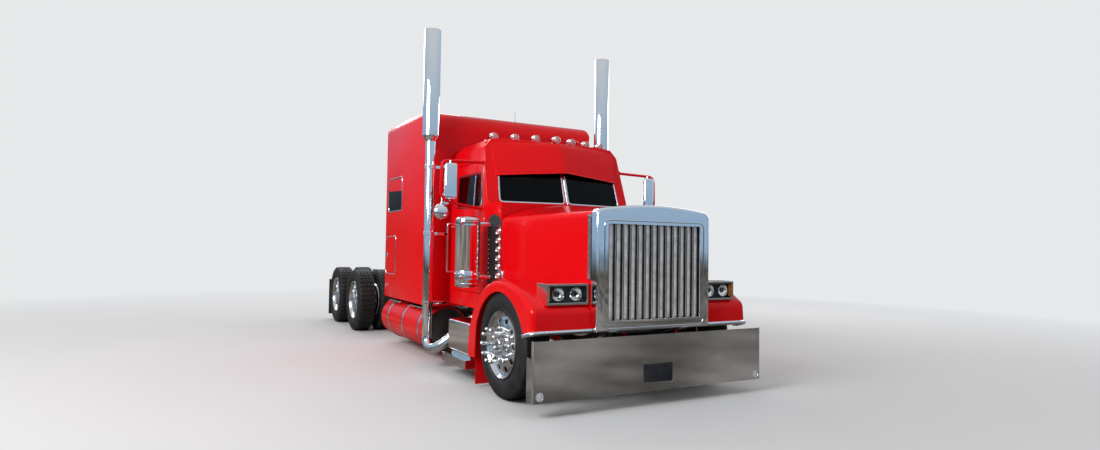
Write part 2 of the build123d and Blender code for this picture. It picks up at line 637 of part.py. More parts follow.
with BuildPart() as sun_visor:
    loft([visor_plan(VISOR_BOTTOM, VISOR_LOWER_PEAK, VISOR_LOWER_SIDE, 0),
          visor_plan(VISOR_TOP, VISOR_UPPER_PEAK, VISOR_UPPER_SIDE, 0)], ruled=True)
    add(visor_space.part, mode=Mode.SUBTRACT)
    with BuildSketch(cross(CAB_FRONT)):
        with BuildLine():
            Polyline((0, VISOR_LIP_PEAK), (VISOR_HALF + 1, VISOR_LIP_SIDE), (VISOR_HALF + 1, VISOR_BOTTOM - 1),
                     (-VISOR_HALF - 1, VISOR_BOTTOM - 1), (-VISOR_HALF - 1, VISOR_LIP_SIDE), close=True)
        make_face()
    extrude(amount=-(VISOR_REAR - CAB_FRONT + 10), mode=Mode.SUBTRACT)
    add(cab_outer.part, mode=Mode.SUBTRACT)
sun_visor.part.label = "sun_visor"
export_step(sun_visor.part, "parts/sun_visor.step")


def sleeper_solid(shrink, floor):
    """The sleeper's closed form, drawn smaller by shrink, with its underside at floor."""
    with BuildPart() as form:
        with BuildSketch(side(-SLEEPER_HALF)):
            with BuildLine():
                Polyline(spot(SLEEPER_FRONT + shrink, 2700), spot(SLEEPER_FRONT + shrink, floor),
                         spot(SLEEPER_REAR - shrink, floor), spot(SLEEPER_REAR - shrink, 2920))
                ThreePointArc(spot(SLEEPER_REAR - shrink, 2920), spot(SLEEPER_REAR - 42 - shrink, 3012 - shrink),
                              spot(SLEEPER_REAR - 140, SLEEPER_REAR_ROOF - shrink))
                Line(spot(SLEEPER_REAR - 140, SLEEPER_REAR_ROOF - shrink),
                     spot(SLEEPER_FRONT + 260, SLEEPER_FRONT_ROOF - shrink))
                ThreePointArc(spot(SLEEPER_FRONT + 260, SLEEPER_FRONT_ROOF - shrink),
                              spot(SLEEPER_FRONT + 75 + shrink * 0.7, 2870 - shrink * 0.7),
                              spot(SLEEPER_FRONT + shrink, 2700))
            make_face()
        extrude(amount=2 * SLEEPER_HALF)
        with BuildSketch(cross(SLEEPER_FRONT - 100)) as front_view:
            with BuildLine():
                half = SLEEPER_HALF - shrink
                Polyline((half, 2880), (half, floor), (-half, floor), (-half, 2880))
                ThreePointArc((-half, 2880), (-half + 44, 2998 - shrink), (-half + 170, 3050 - shrink))
                ThreePointArc((-half + 170, 3050 - shrink), (0, 3085 - shrink), (half - 170, 3050 - shrink))
                ThreePointArc((half - 170, 3050 - shrink), (half - 44, 2998 - shrink), (half, 2880))
            make_face()
        extrude(amount=-(SLEEPER_REAR - SLEEPER_FRONT + 200), mode=Mode.INTERSECT)
        with BuildSketch(Plane.XY.offset(floor)):
            with Locations((0, at((SLEEPER_FRONT + SLEEPER_REAR) / 2))):
                RectangleRounded(2 * half + 2, SLEEPER_REAR - SLEEPER_FRONT - 2 * shrink + 2, 60 - shrink)
        extrude(amount=3200, mode=Mode.INTERSECT)
    return form


def hatch_outline(grow):
    """The luggage hatch's outline, larger by grow."""
    with BuildSketch(side(0)) as outline:
        with Locations(spot((HATCH_FRONT + HATCH_REAR) / 2, (HATCH_BOTTOM + HATCH_TOP) / 2)):
            RectangleRounded(HATCH_REAR - HATCH_FRONT + 2 * grow, HATCH_TOP - HATCH_BOTTOM + 2 * grow, 45 + grow)
    return outline


SLEEPER_WINDOW = (3992.0, 4610.0, 1812.0, 2250.0)


def sleeper_window_outline(inset):
    """The sleeper window's outline, smaller by inset."""
    front, rear, bottom, top = SLEEPER_WINDOW
    with BuildSketch(side(0)) as outline:
        with Locations(spot((front + rear) / 2, (bottom + top) / 2)):
            RectangleRounded(rear - front - 2 * inset, top - bottom - 2 * inset, 50 - inset)
    return outline


sleeper_outer = sleeper_solid(0, SLEEPER_BOTTOM)
sleeper_inner = sleeper_solid(SLEEPER_WALL, FLOOR_TOP)
with BuildPart() as sleeper_under:
    add(sleeper_solid(SLEEPER_WALL, SLEEPER_BOTTOM - 20).part)
    with Locations((0, 0, FLOOR_BOTTOM)):
        Box(3000, LENGTH, 3000, align=(Align.CENTER, Align.CENTER, Align.MIN), mode=Mode.SUBTRACT)
    with Locations((0, at(SLEEPER_FRONT), FLOOR_BOTTOM)):
        Box(2 * TUNNEL_HALF, 2 * (SLEEPER_REAR - SLEEPER_FRONT) + 100, 400,
            align=(Align.CENTER, Align.CENTER, Align.MAX))

with BuildPart() as sleeper_skin:
    add(sleeper_outer.part)
    add(sleeper_inner.part, mode=Mode.SUBTRACT)
    add(sleeper_under.part, mode=Mode.SUBTRACT)

# Sleeper shell: hollow, open to the cab through a boot, with windows and hatchways cut.
with BuildPart() as sleeper_shell:
    add(sleeper_skin.part)
    with BuildSketch(cross(SLEEPER_FRONT)):
        with Locations((0, (PASS_TOP + PASS_BOTTOM) / 2)):
            RectangleRounded(2 * PASS_HALF + 60, PASS_TOP - PASS_BOTTOM + 60, 40)
    extrude(amount=SLEEPER_FRONT - CAB_REAR)
    with Locations((0, at(SLEEPER_FRONT), (PASS_TOP + PASS_BOTTOM) / 2)):
        Box(2 * PASS_HALF, 400, PASS_TOP - PASS_BOTTOM, mode=Mode.SUBTRACT)
    hatchway = hatch_outline(0)
    extrude(hatchway.sketch, amount=1200, both=True, mode=Mode.SUBTRACT)
    window = sleeper_window_outline(14)
    extrude(window.sketch, amount=1200, both=True, mode=Mode.SUBTRACT)
    for sign in (1, -1):
        pocket = sleeper_window_outline(0)
        with Locations((sign * (SLEEPER_HALF - 4), 0, 0)):
            add(extrude(pocket.sketch, amount=4.001, both=True, mode=Mode.PRIVATE), mode=Mode.SUBTRACT)
sleeper_shell.part.label = "sleeper_shell"
export_step(sleeper_shell.part, "parts/sleeper_shell.step")

with BuildPart() as sleeper_glass:
    pane = sleeper_window_outline(0.6)
    extrude(pane.sketch.moved(Location((SLEEPER_HALF - 8, 0, 0))), amount=GLASS)
    mirror(about=Plane.YZ)
sleeper_glass.part.label = "sleeper_glass"
export_step(sleeper_glass.part, "parts/sleeper_glass.step")

# Luggage hatches: the sleeper wall's own thickness inside the hatchway.
with BuildPart() as hatches:
    add(sleeper_skin.part)
    panel = hatch_outline(-DOOR_GAP)
    extrude(panel.sketch, amount=1200, both=True, mode=Mode.INTERSECT)

with BuildPart() as hatch_left:
    add(hatches.part.solids().sort_by(Axis.X)[-1])
hatch_left.part.label = "hatch_left"
export_step(hatch_left.part, "parts/hatch_left.step")

with BuildPart() as hatch_right:
    add(hatches.part.solids().sort_by(Axis.X)[0])
hatch_right.part.label = "hatch_right"
export_step(hatch_right.part, "parts/hatch_right.step")

# Cab roof lamps: seven bullets on the brow.
LAMP_XS = (-756.0, -520.0, -265.0, 0.0, 265.0, 520.0, 756.0)
LAMP_HALF = 32.0
with BuildPart() as cab_lamps:
    for x in LAMP_XS:
        with BuildSketch(side(x)):
            with BuildLine():
                Polyline(spot(1786, VISOR_TOP), spot(1930, VISOR_TOP), spot(1930, 2560))
                ThreePointArc(spot(1930, 2560), spot(1814, 2545), spot(1786, 2500))
                Line(spot(1786, 2500), spot(1786, VISOR_TOP))
            make_face()
        extrude(amount=LAMP_HALF, both=True)
    add(cab_outer.part, mode=Mode.SUBTRACT)
cab_lamps.part.label = "cab_lamps"
export_step(cab_lamps.part, "parts/cab_lamps.step")

# Air cleaners: an upright canister each side, strapped to the cowl.
CANISTER_X = 1106.0
CANISTER_STATION = 1650.0
CANISTER_RADIUS = 122.0
CANISTER_BOTTOM = 932.0
CANISTER_TOP = 1643.0
with BuildPart() as air_cleaners:
    with Locations((CANISTER_X, at(CANISTER_STATION), CANISTER_BOTTOM)):
        Cylinder(CANISTER_RADIUS, CANISTER_TOP - CANISTER_BOTTOM, align=(Align.CENTER, Align.CENTER, Align.MIN))
    fillet(air_cleaners.edges().filter_by(GeomType.CIRCLE), 14)
    for height in (1010, 1545):
        with Locations((CANISTER_X, at(CANISTER_STATION), height)):
            Cylinder(CANISTER_RADIUS + 5, 45, align=(Align.CENTER, Align.CENTER, Align.MIN))
        with Locations((CANISTER_X, at(CANISTER_STATION), height)):
            Box(CANISTER_X - 700, 60, 45, align=(Align.MAX, Align.CENTER, Align.MIN))
    add(cab_outer.part, mode=Mode.SUBTRACT)
    mirror(about=Plane.YZ)
air_cleaners.part.label = "air_cleaners"
export_step(air_cleaners.part, "parts/air_cleaners.step")

# Exhaust stacks: a fat upper pipe on a slim one that turns forward and in at its foot.
STACK_WALL = 4.0
FOOT_HEIGHT = 210.0
with BuildPart() as exhaust_stacks:
    with BuildSketch(Plane((STACK_X, at(STACK_STATION), PIPE_JOINT + 60))):
        Circle(STACK_RADIUS)
        Circle(STACK_RADIUS - STACK_WALL, mode=Mode.SUBTRACT)
    extrude(amount=STACK_TOP - PIPE_JOINT - 60)
    with BuildSketch(Plane((STACK_X, at(STACK_STATION), PIPE_JOINT))):
        Circle(PIPE_RADIUS)
    with BuildSketch(Plane((STACK_X, at(STACK_STATION), PIPE_JOINT + 60))):
        Circle(STACK_RADIUS)
    loft()
    with BuildLine() as route:
        FilletPolyline((STACK_X, at(STACK_STATION), PIPE_JOINT), (STACK_X, at(STACK_STATION), FOOT_HEIGHT),
                       (STACK_X, at(2400), FOOT_HEIGHT), (760, at(2250), 560), radius=130)
    with BuildSketch(Plane((STACK_X, at(STACK_STATION), PIPE_JOINT), z_dir=(0, 0, -1))):
        Circle(PIPE_RADIUS)
    sweep()
    for height in (700.0, 1480.0, 2240.0):
        with Locations((STACK_X, at(STACK_STATION), height)):
            Cylinder(PIPE_RADIUS + 6, 46)
        with Locations((STACK_X - 50, at(STACK_STATION), height)):
            Box(170, 24, 40, align=(Align.MAX, Align.CENTER, Align.CENTER))
        with Locations((STACK_X - 180, at(STACK_STATION), height)):
            Box(40, SLEEPER_FRONT - STACK_STATION, 40, align=(Align.MAX, Align.MIN, Align.CENTER))
    mirror(about=Plane.YZ)
exhaust_stacks.part.label = "exhaust_stacks"
export_step(exhaust_stacks.part, "parts/exhaust_stacks.step")

# Fuel tanks: a round tank each side below the sleeper, on brackets from the rail.
TANK_RADIUS = 268.0
TANK_X = 858.0
TANK_HEIGHT = 362.0
TANK_FRONT = 2860.0
TANK_REAR = 4740.0
with BuildPart() as fuel_tanks:
    with BuildSketch(cross(TANK_REAR)):
        with Locations((TANK_X, TANK_HEIGHT)):
            Circle(TANK_RADIUS)
    extrude(amount=TANK_REAR - TANK_FRONT)
    fillet(fuel_tanks.edges().filter_by(GeomType.CIRCLE), 30)
    mirror(about=Plane.YZ)
fuel_tanks.part.label = "fuel_tanks"
export_step(fuel_tanks.part, "parts/fuel_tanks.step")

with BuildPart() as tank_brackets:
    for station in (3150.0, 3800.0, 4450.0):
        with BuildSketch(cross(station)):
            with Locations((TANK_X, TANK_HEIGHT)):
                Circle(TANK_RADIUS + 8)
            with Locations((RAIL_HALF, TANK_HEIGHT)):
                Rectangle(TANK_X - RAIL_HALF, 760 - TANK_HEIGHT, align=(Align.MIN, Align.MIN))
            with Locations((TANK_X, TANK_HEIGHT)):
                Circle(TANK_RADIUS, mode=Mode.SUBTRACT)
        extrude(amount=60)
    mirror(about=Plane.YZ)
tank_brackets.part.label = "tank_brackets"
export_step(tank_brackets.part, "parts/tank_brackets.step")

# Step boxes: a polished battery box each side below the door, with a low step.
with BuildPart() as step_boxes:
    with Locations((1110, at(1570), 262)):
        Box(1110 - RAIL_HALF, 560, 318, align=(Align.MAX, Align.MIN, Align.MIN))
    fillet(step_boxes.edges().filter_by(Axis.Y).group_by(Axis.X)[-1], 25)
    with Locations((1150, at(1560), 130)):
        Box(250, 640, 90, align=(Align.MAX, Align.MIN, Align.MIN))
    with Locations((1080, at(1600), 215)):
        Box(120, 500, 50, align=(Align.MAX, Align.MIN, Align.MIN))
    with Locations((RAIL_HALF, at(1570), 580)):
        Box(60, 560, 120, align=(Align.MIN, Align.MIN, Align.MIN))
    mirror(about=Plane.YZ)
step_boxes.part.label = "step_boxes"
export_step(step_boxes.part, "parts/step_boxes.step")


def wheel_plane(station):
    """The plane that a wheel's section is drawn on: local x is X, local y is the radius."""
    return Plane(origin=(0, at(station), AXLE_HEIGHT), x_dir=(1, 0, 0), z_dir=(0, -1, 0))


def face_plane(x, station):
    """The plane of a wheel's outer face at an X, about its centre."""
    return Plane(origin=(x, at(station), AXLE_HEIGHT), x_dir=(0, 1, 0), z_dir=(1, 0, 0))


def axle_line(station):
    """The X-wards line through a wheel's centre."""
    return Axis((0, at(station), AXLE_HEIGHT), (1, 0, 0))


TYRE_HALF_SECTION = [(104, 283.3), (104, 300), (136, 388), (120, 460), (94, TYRE_RADIUS)]


def tyre(station, centres):
    """Tyres on one wheel, one for each centre X."""
    with BuildPart() as ring:
        with BuildSketch(wheel_plane(station)):
            for centre in centres:
                with BuildLine():
                    Polyline([(centre + x, r) for x, r in TYRE_HALF_SECTION]
                             + [(centre - x, r) for x, r in reversed(TYRE_HALF_SECTION)], close=True)
                make_face()
        revolve(axis=axle_line(station))
    return ring.part


BARREL = 9.0
HAND_HOLE = 29.0
HAND_HOLE_CIRCLE = 214.0


def lug_spikes(base, length, station):
    """Ten tapering lug covers on the bolt circle, pointing outward from X base."""
    with BuildPart() as spikes:
        with BuildSketch(face_plane(base, station)):
            with PolarLocations(BOLT_CIRCLE, LUGS):
                RegularPolygon(20, 6)
        extrude(amount=34)
        for i in range(LUGS):
            turn = radians(360 / LUGS * i)
            centre = Vector(base + 33, at(station) + BOLT_CIRCLE * cos(turn), AXLE_HEIGHT + BOLT_CIRCLE * sin(turn))
            with BuildSketch(Plane(origin=centre, x_dir=(0, 1, 0), z_dir=(1, 0, 0))):
                RegularPolygon(16, 6)
            with BuildSketch(Plane(origin=centre + Vector(length - 33, 0, 0), x_dir=(0, 1, 0), z_dir=(1, 0, 0))):
                RegularPolygon(3, 6)
            loft()
    return spikes.part


# Front wheels: a disc wheel near flush with its tyre, hand holes round the disc, hub and drum behind.
FRONT_DISC_X = 1108.0
with BuildPart() as front_rim:
    with BuildSketch(wheel_plane(FRONT_AXLE)):
        with BuildLine():
            x0 = STEER_TYRE_X
            Polyline((x0 - 118, BEAD_RADIUS - BARREL), (x0 - 118, RIM_RADIUS), (x0 - 108, RIM_RADIUS),
                     (x0 - 106, BEAD_RADIUS), (x0 + 106, BEAD_RADIUS), (x0 + 108, RIM_RADIUS), (x0 + 128, RIM_RADIUS),
                     (x0 + 124, 284), (1098, 268), (1110, 240), (1122, 190), (1122, 0), (1006, 0), (1006, 200),
                     (1080, 205), (1080, 180), (1108, 178), (1096, 240), (1080, BEAD_RADIUS - BARREL), close=True)
        make_face()
    revolve(axis=axle_line(FRONT_AXLE))
    with BuildSketch(face_plane(1000, FRONT_AXLE)):
        with PolarLocations(HAND_HOLE_CIRCLE + 4, LUGS, start_angle=18):
            Circle(HAND_HOLE - 3)
    extrude(amount=200, mode=Mode.SUBTRACT)
    with BuildSketch(face_plane(1122, FRONT_AXLE)):
        Circle(92)
    extrude(amount=36, taper=12)
    with BuildSketch(face_plane(1006, FRONT_AXLE)):
        Circle(SPINDLE_RADIUS + RUNNING_GAP)
    extrude(amount=112, mode=Mode.SUBTRACT)
    add(lug_spikes(1122, 140, FRONT_AXLE))

# Knuckles: a yoke on the kingpin, the wheel's spindle and the steering arm.
YOKE_X = 979.0
ARM_EYE_X = KINGPIN_X
ARM_EYE_STATION = FRONT_AXLE + 165.0
ARM_BOTTOM = 372.0
ARM_TOP = 396.0
EYE_RADIUS = 14.0
YOKE_BOTTOM = 355.0
YOKE_TOP = 620.0
ROD_HEIGHT = 350.0
with BuildPart() as knuckle:
    with Locations((YOKE_X, at(FRONT_AXLE), YOKE_BOTTOM)):
        Box(20, 120, YOKE_TOP - YOKE_BOTTOM, align=(Align.MIN, Align.CENTER, Align.MIN))
    for bottom, top in ((YOKE_BOTTOM, BOSS_BOTTOM - EAR_GAP), (BOSS_TOP + EAR_GAP, YOKE_TOP)):
        with BuildSketch(Plane.XY.offset(bottom)):
            with Locations((KINGPIN_X, at(FRONT_AXLE))):
                Circle(46)
            with Locations((YOKE_X, at(FRONT_AXLE))):
                Rectangle(YOKE_X - KINGPIN_X, 92, align=(Align.MAX, Align.CENTER))
        extrude(amount=top - bottom)
    with Locations((YOKE_X + 20, at(FRONT_AXLE), AXLE_HEIGHT)):
        Cylinder(SPINDLE_RADIUS, 112, rotation=(0, 90, 0), align=(Align.CENTER, Align.CENTER, Align.MIN))
    with BuildSketch(Plane.XY.offset(ARM_BOTTOM)):
        with Locations((ARM_EYE_X, at(ARM_EYE_STATION))):
            Circle(32)
        with BuildLine():
            Polyline((ARM_EYE_X - 26, at(ARM_EYE_STATION)), (ARM_EYE_X + 26, at(ARM_EYE_STATION)),
                     (KINGPIN_X + 46, at(FRONT_AXLE)), (KINGPIN_X - 20, at(FRONT_AXLE) + 30), close=True)
        make_face()
    extrude(amount=ARM_TOP - ARM_BOTTOM)
    with Locations((KINGPIN_X, at(FRONT_AXLE), 300)):
        Cylinder(KINGPIN_RADIUS + RUNNING_GAP, 400, align=(Align.CENTER, Align.CENTER, Align.MIN), mode=Mode.SUBTRACT)
    with Locations((ARM_EYE_X, at(ARM_EYE_STATION), 300)):
        Cylinder(EYE_RADIUS + RUNNING_GAP, 200, align=(Align.CENTER, Align.CENTER, Align.MIN), mode=Mode.SUBTRACT)

# Tie rod between the steering arms' eyes.
with BuildPart() as tie_rod:
    with Locations((0, at(ARM_EYE_STATION), ROD_HEIGHT)):
        Cylinder(15, 2 * ARM_EYE_X, rotation=(0, 90, 0))
    for x in (ARM_EYE_X, -ARM_EYE_X):
        with Locations((x, at(ARM_EYE_STATION), ROD_HEIGHT - 20)):
            Cylinder(22, 36, align=(Align.CENTER, Align.CENTER, Align.MIN))
        with Locations((x, at(ARM_EYE_STATION), ROD_HEIGHT - 10)):
            Cylinder(EYE_RADIUS, ARM_TOP + 8 - ROD_HEIGHT + 10, align=(Align.CENTER, Align.CENTER, Align.MIN))
tie_rod.part.label = "tie_rod"
export_step(tie_rod.part, "parts/tie_rod.step")

# Drive wheels: two rims back to back on one hub, each with its tyre.
DUAL_MIDDLE = (DUAL_OUTER_X + DUAL_INNER_X) / 2
DRIVE_SPINDLE = 45.0


def dual_rims(station):
    """The pair of rims, hub, drum and lug covers of one side's twin wheels."""
    with BuildPart() as pair:
        with BuildSketch(wheel_plane(station)):
            with BuildLine():
                x0 = DUAL_OUTER_X
                Polyline((x0 + 118, BEAD_RADIUS - BARREL), (x0 + 118, RIM_RADIUS), (x0 + 108, RIM_RADIUS),
                         (x0 + 106, BEAD_RADIUS), (x0 - 106, BEAD_RADIUS), (x0 - 108, RIM_RADIUS),
                         (x0 - 118, RIM_RADIUS), (x0 - 118, 268), (DUAL_MIDDLE + 4, 205), (DUAL_MIDDLE, 190),
                         (DUAL_MIDDLE, 60), (DUAL_MIDDLE + 14, 60), (DUAL_MIDDLE + 14, 190),
                         (DUAL_MIDDLE + 20, 200), (x0 - 106, 250), (x0 - 96, BEAD_RADIUS - BARREL), close=True)
            make_face()
            with BuildLine():
                x0 = DUAL_INNER_X
                Polyline((x0 - 118, BEAD_RADIUS - BARREL), (x0 - 118, RIM_RADIUS), (x0 - 108, RIM_RADIUS),
                         (x0 - 106, BEAD_RADIUS), (x0 + 106, BEAD_RADIUS), (x0 + 108, RIM_RADIUS),
                         (x0 + 118, RIM_RADIUS), (x0 + 118, 268), (DUAL_MIDDLE - 4, 205), (DUAL_MIDDLE, 190),
                         (DUAL_MIDDLE, 60), (DUAL_MIDDLE - 14, 60), (DUAL_MIDDLE - 14, 190),
                         (DUAL_MIDDLE - 20, 200), (x0 + 106, 250), (x0 + 96, BEAD_RADIUS - BARREL), close=True)
            make_face()
            with BuildLine():
                Polyline((700, DRIVE_SPINDLE + RUNNING_GAP), (700, 200), (DUAL_MIDDLE - 14, 200),
                         (DUAL_MIDDLE + 14, 92), (1060, 88), (1096, 70), (1096, 0), (1050, 0),
                         (1050, DRIVE_SPINDLE + RUNNING_GAP), close=True)
            make_face()
        revolve(axis=axle_line(station))
        with BuildSketch(face_plane(DUAL_MIDDLE + 13, station)):
            with PolarLocations(HAND_HOLE_CIRCLE + 16, LUGS, start_angle=18):
                Circle(HAND_HOLE - 5)
        extrude(amount=80, mode=Mode.SUBTRACT)
        add(lug_spikes(DUAL_MIDDLE + 14, 150, station))
    return pair.part


def keep(name, solid, sign):
    """Write one side's piece: as drawn on the left, mirrored on the right."""
    with BuildPart() as piece:
        if sign > 0:
            add(solid)
        else:
            add(mirror(solid, about=Plane.YZ, mode=Mode.PRIVATE))
    piece.part.label = name
    export_step(piece.part, f"parts/{name}.step")


for side_name, sign in SIDES:
    keep(f"knuckle_{side_name}", knuckle.part, sign)
    keep(f"front_rim_{side_name}", front_rim.part, sign)
    keep(f"front_tyre_{side_name}", tyre(FRONT_AXLE, (STEER_TYRE_X,)), sign)
for axle_name, station in zip(("mid", "rear"), DRIVE_AXLES):
    rims = dual_rims(station)
    tyres = tyre(station, (DUAL_OUTER_X, DUAL_INNER_X))
    for side_name, sign in SIDES:
        keep(f"{axle_name}_rims_{side_name}", rims, sign)
        keep(f"{axle_name}_tyres_{side_name}", tyres, sign)

# Drive axles: a housing with a bowl and spindles, on trailing arms with a hanger and an air spring at each rail.
RAIL_MIDDLE = RAIL_HALF - RAIL_FLANGE / 2
ARM_HALF = 38.0
ARM_UNDERSIDE = 348.0
HANGER_AHEAD = 440.0
SPRING_BEHIND = 290.0
SPRING_TOP = 605.0
with BuildPart() as drive_axles:
    for station in DRIVE_AXLES:
        with BuildSketch(wheel_plane(station)):
            with BuildLine():
                Polyline((-1045, 0), (-1045, DRIVE_SPINDLE), (-690, DRIVE_SPINDLE), (-690, 62), (-260, 70), (-150, 180),
                         (150, 180), (260, 70), (690, 62), (690, DRIVE_SPINDLE), (1045, DRIVE_SPINDLE), (1045, 0),
                         close=True)
            make_face()
        revolve(axis=axle_line(station))
        for x in (RAIL_MIDDLE, -RAIL_MIDDLE):
            with BuildSketch(side(x)):
                with BuildLine():
                    Polyline(spot(station - HANGER_AHEAD - 40, 400), spot(station - 60, ARM_UNDERSIDE),
                             spot(station + SPRING_BEHIND + 80, ARM_UNDERSIDE),
                             spot(station + SPRING_BEHIND + 80, ARM_UNDERSIDE + 50),
                             spot(station - 60, ARM_UNDERSIDE + 82), spot(station - HANGER_AHEAD + 40, 480),
                             spot(station - HANGER_AHEAD - 40, 480), close=True)
                make_face()
            extrude(amount=ARM_HALF, both=True)
            with Locations((x, at(station - HANGER_AHEAD), 440)):
                Box(RAIL_FLANGE, 110, RAIL_BOTTOM - 440, align=(Align.CENTER, Align.CENTER, Align.MIN))
            spring = station + SPRING_BEHIND
            with BuildSketch(side(x)):
                with BuildLine():
                    Polyline(spot(spring, 385), spot(spring + 70, 385), spot(spring + 70, 445), spot(spring + 112, 470),
                             spot(spring + 112, 585), spot(spring + 90, SPRING_TOP), spot(spring, SPRING_TOP),
                             close=True)
                make_face()
            revolve(axis=Axis((x, at(spring), 0), (0, 0, 1)))
            with Locations((x, at(spring), SPRING_TOP)):
                Box(RAIL_FLANGE, 150, RAIL_BOTTOM - SPRING_TOP, align=(Align.CENTER, Align.CENTER, Align.MIN))
drive_axles.part.label = "drive_axles"
export_step(drive_axles.part, "parts/drive_axles.step")

# Deck plate behind the sleeper.
with BuildPart() as deck_plate:
    with Locations((0, at(4820), RAIL_TOP)):
        Box(2 * RAIL_HALF, 760, 6, align=(Align.CENTER, Align.MIN, Align.MIN))
deck_plate.part.label = "deck_plate"
export_step(deck_plate.part, "parts/deck_plate.step")

# Fifth wheel: a base on the rails with two ears, and a tilting plate with a V throat.
FIFTH_STATION = 6780.0
FIFTH_PIVOT = 1005.0
FIFTH_TOP = 1120.0
FIFTH_PIN = 22.0
KINGPIN_BORE = 25.65
with BuildPart() as fifth_wheel_base:
    with Locations((0, at(FIFTH_STATION), RAIL_TOP)):
        Box(2 * RAIL_HALF, 560, 14, align=(Align.CENTER, Align.CENTER, Align.MIN))
    for x in (330.0, -330.0):
        with BuildSketch(side(x)):
            with BuildLine():
                Polyline(spot(FIFTH_STATION - 180, RAIL_TOP + 10), spot(FIFTH_STATION + 180, RAIL_TOP + 10),
                         spot(FIFTH_STATION + 60, FIFTH_PIVOT), spot(FIFTH_STATION - 60, FIFTH_PIVOT), close=True)
            make_face()
            with Locations(spot(FIFTH_STATION, FIFTH_PIVOT)):
                Circle(60)
        extrude(amount=15, both=True)
    with Locations((0, at(FIFTH_STATION), FIFTH_PIVOT)):
        Cylinder(FIFTH_PIN, 790, rotation=(0, 90, 0))
fifth_wheel_base.part.label = "fifth_wheel_base"
export_step(fifth_wheel_base.part, "parts/fifth_wheel_base.step")

with BuildPart() as fifth_wheel_plate:
    with BuildSketch(Plane.XY.offset(FIFTH_TOP - 40)) as plate_outline:
        with BuildLine():
            Polyline((-455, at(FIFTH_STATION - 300)), (-300, at(FIFTH_STATION - 440)), (300, at(FIFTH_STATION - 440)),
                     (455, at(FIFTH_STATION - 300)), (455, at(FIFTH_STATION + 180)), (300, at(FIFTH_STATION + 420)),
                     (180, at(FIFTH_STATION + 420)), (42, at(FIFTH_STATION + 110)), (-42, at(FIFTH_STATION + 110)),
                     (-180, at(FIFTH_STATION + 420)), (-300, at(FIFTH_STATION + 420)),
                     (-455, at(FIFTH_STATION + 180)), close=True)
        make_face()
    extrude(amount=40)
    with Locations((0, at(FIFTH_STATION), FIFTH_TOP - 60)):
        Cylinder(KINGPIN_BORE, 80, align=(Align.CENTER, Align.CENTER, Align.MIN), mode=Mode.SUBTRACT)
    for x in (375.0, -375.0):
        with BuildSketch(side(x)):
            with BuildLine():
                Polyline(spot(FIFTH_STATION - 130, FIFTH_TOP - 39), spot(FIFTH_STATION - 55, FIFTH_PIVOT),
                         spot(FIFTH_STATION + 55, FIFTH_PIVOT), spot(FIFTH_STATION + 130, FIFTH_TOP - 39), close=True)
            make_face()
            with Locations(spot(FIFTH_STATION, FIFTH_PIVOT)):
                Circle(55)
            with Locations(spot(FIFTH_STATION, FIFTH_PIVOT)):
                Circle(FIFTH_PIN + RUNNING_GAP, mode=Mode.SUBTRACT)
        extrude(amount=18, both=True)
fifth_wheel_plate.part.label = "fifth_wheel_plate"
export_step(fifth_wheel_plate.part, "parts/fifth_wheel_plate.step")

# Tail bar with round lamps, and flaps hung from it behind the last wheels.
TAIL_START = 8030.0
with BuildPart() as tail_bar:
    with Locations((0, at(TAIL_START), 720)):
        Box(2240, 50, 150, align=(Align.CENTER, Align.MIN, Align.MIN))
    with Locations((RAIL_HALF - RAIL_FLANGE / 2, at(RAIL_END), 700), (-RAIL_HALF + RAIL_FLANGE / 2, at(RAIL_END), 700)):
        Box(RAIL_FLANGE, 12, 180, align=(Align.CENTER, Align.MIN, Align.MIN))
    for x in (-1030, -910, -790, 790, 910, 1030):
        with BuildSketch(cross(TAIL_START + 45)):
            with Locations((x, 795)):
                Circle(48)
        extrude(amount=-(LENGTH - TAIL_START - 45))
tail_bar.part.label = "tail_bar"
export_step(tail_bar.part, "parts/tail_bar.step")

with BuildPart() as mud_flaps:
    with Locations((908, at(TAIL_START + 22), 90), (-908, at(TAIL_START + 22), 90)):
        Box(600, 8, 630, align=(Align.CENTER, Align.MIN, Align.MIN))
mud_flaps.part.label = "mud_flaps"
export_step(mud_flaps.part, "parts/mud_flaps.step")

# Mirrors: a bent tube loop on each door, with the main glass head in it and a round one below.
LOOP_STATION = 1800.0
LOOP_RADIUS = 16.0
with BuildPart() as mirror_left:
    with BuildLine() as loop:
        FilletPolyline((CAB_HALF - 52, at(LOOP_STATION + 60), 2226), (1338, at(LOOP_STATION), 2205),
                       (1345, at(LOOP_STATION), 1850), (1275, at(LOOP_STATION), 1790),
                       (CAB_HALF, at(LOOP_STATION + 30), 1735), radius=45)
    with BuildSketch(Plane(origin=loop.line @ 0, z_dir=loop.line % 0)):
        Circle(LOOP_RADIUS)
    sweep()
    with BuildSketch(Plane(origin=(1247, at(LOOP_STATION - 20), 1815), x_dir=(1, 0, 0), z_dir=(0, 0, 1))):
        RectangleRounded(140, 60, 24)
    extrude(amount=372)
    with Locations((1247, at(LOOP_STATION), 1790)):
        Cylinder(12, 440, align=(Align.CENTER, Align.CENTER, Align.MIN))
    with Locations((1330, at(LOOP_STATION - 10), 1690)):
        Cylinder(82, 44, rotation=(90, 0, 0))
    with Locations((1330, at(LOOP_STATION - 10), 1700)):
        Cylinder(12, 160, align=(Align.CENTER, Align.CENTER, Align.MIN))
    add(cab_outer.part, mode=Mode.SUBTRACT)
keep("mirror_left", mirror_left.part, 1)
keep("mirror_right", mirror_left.part, -1)

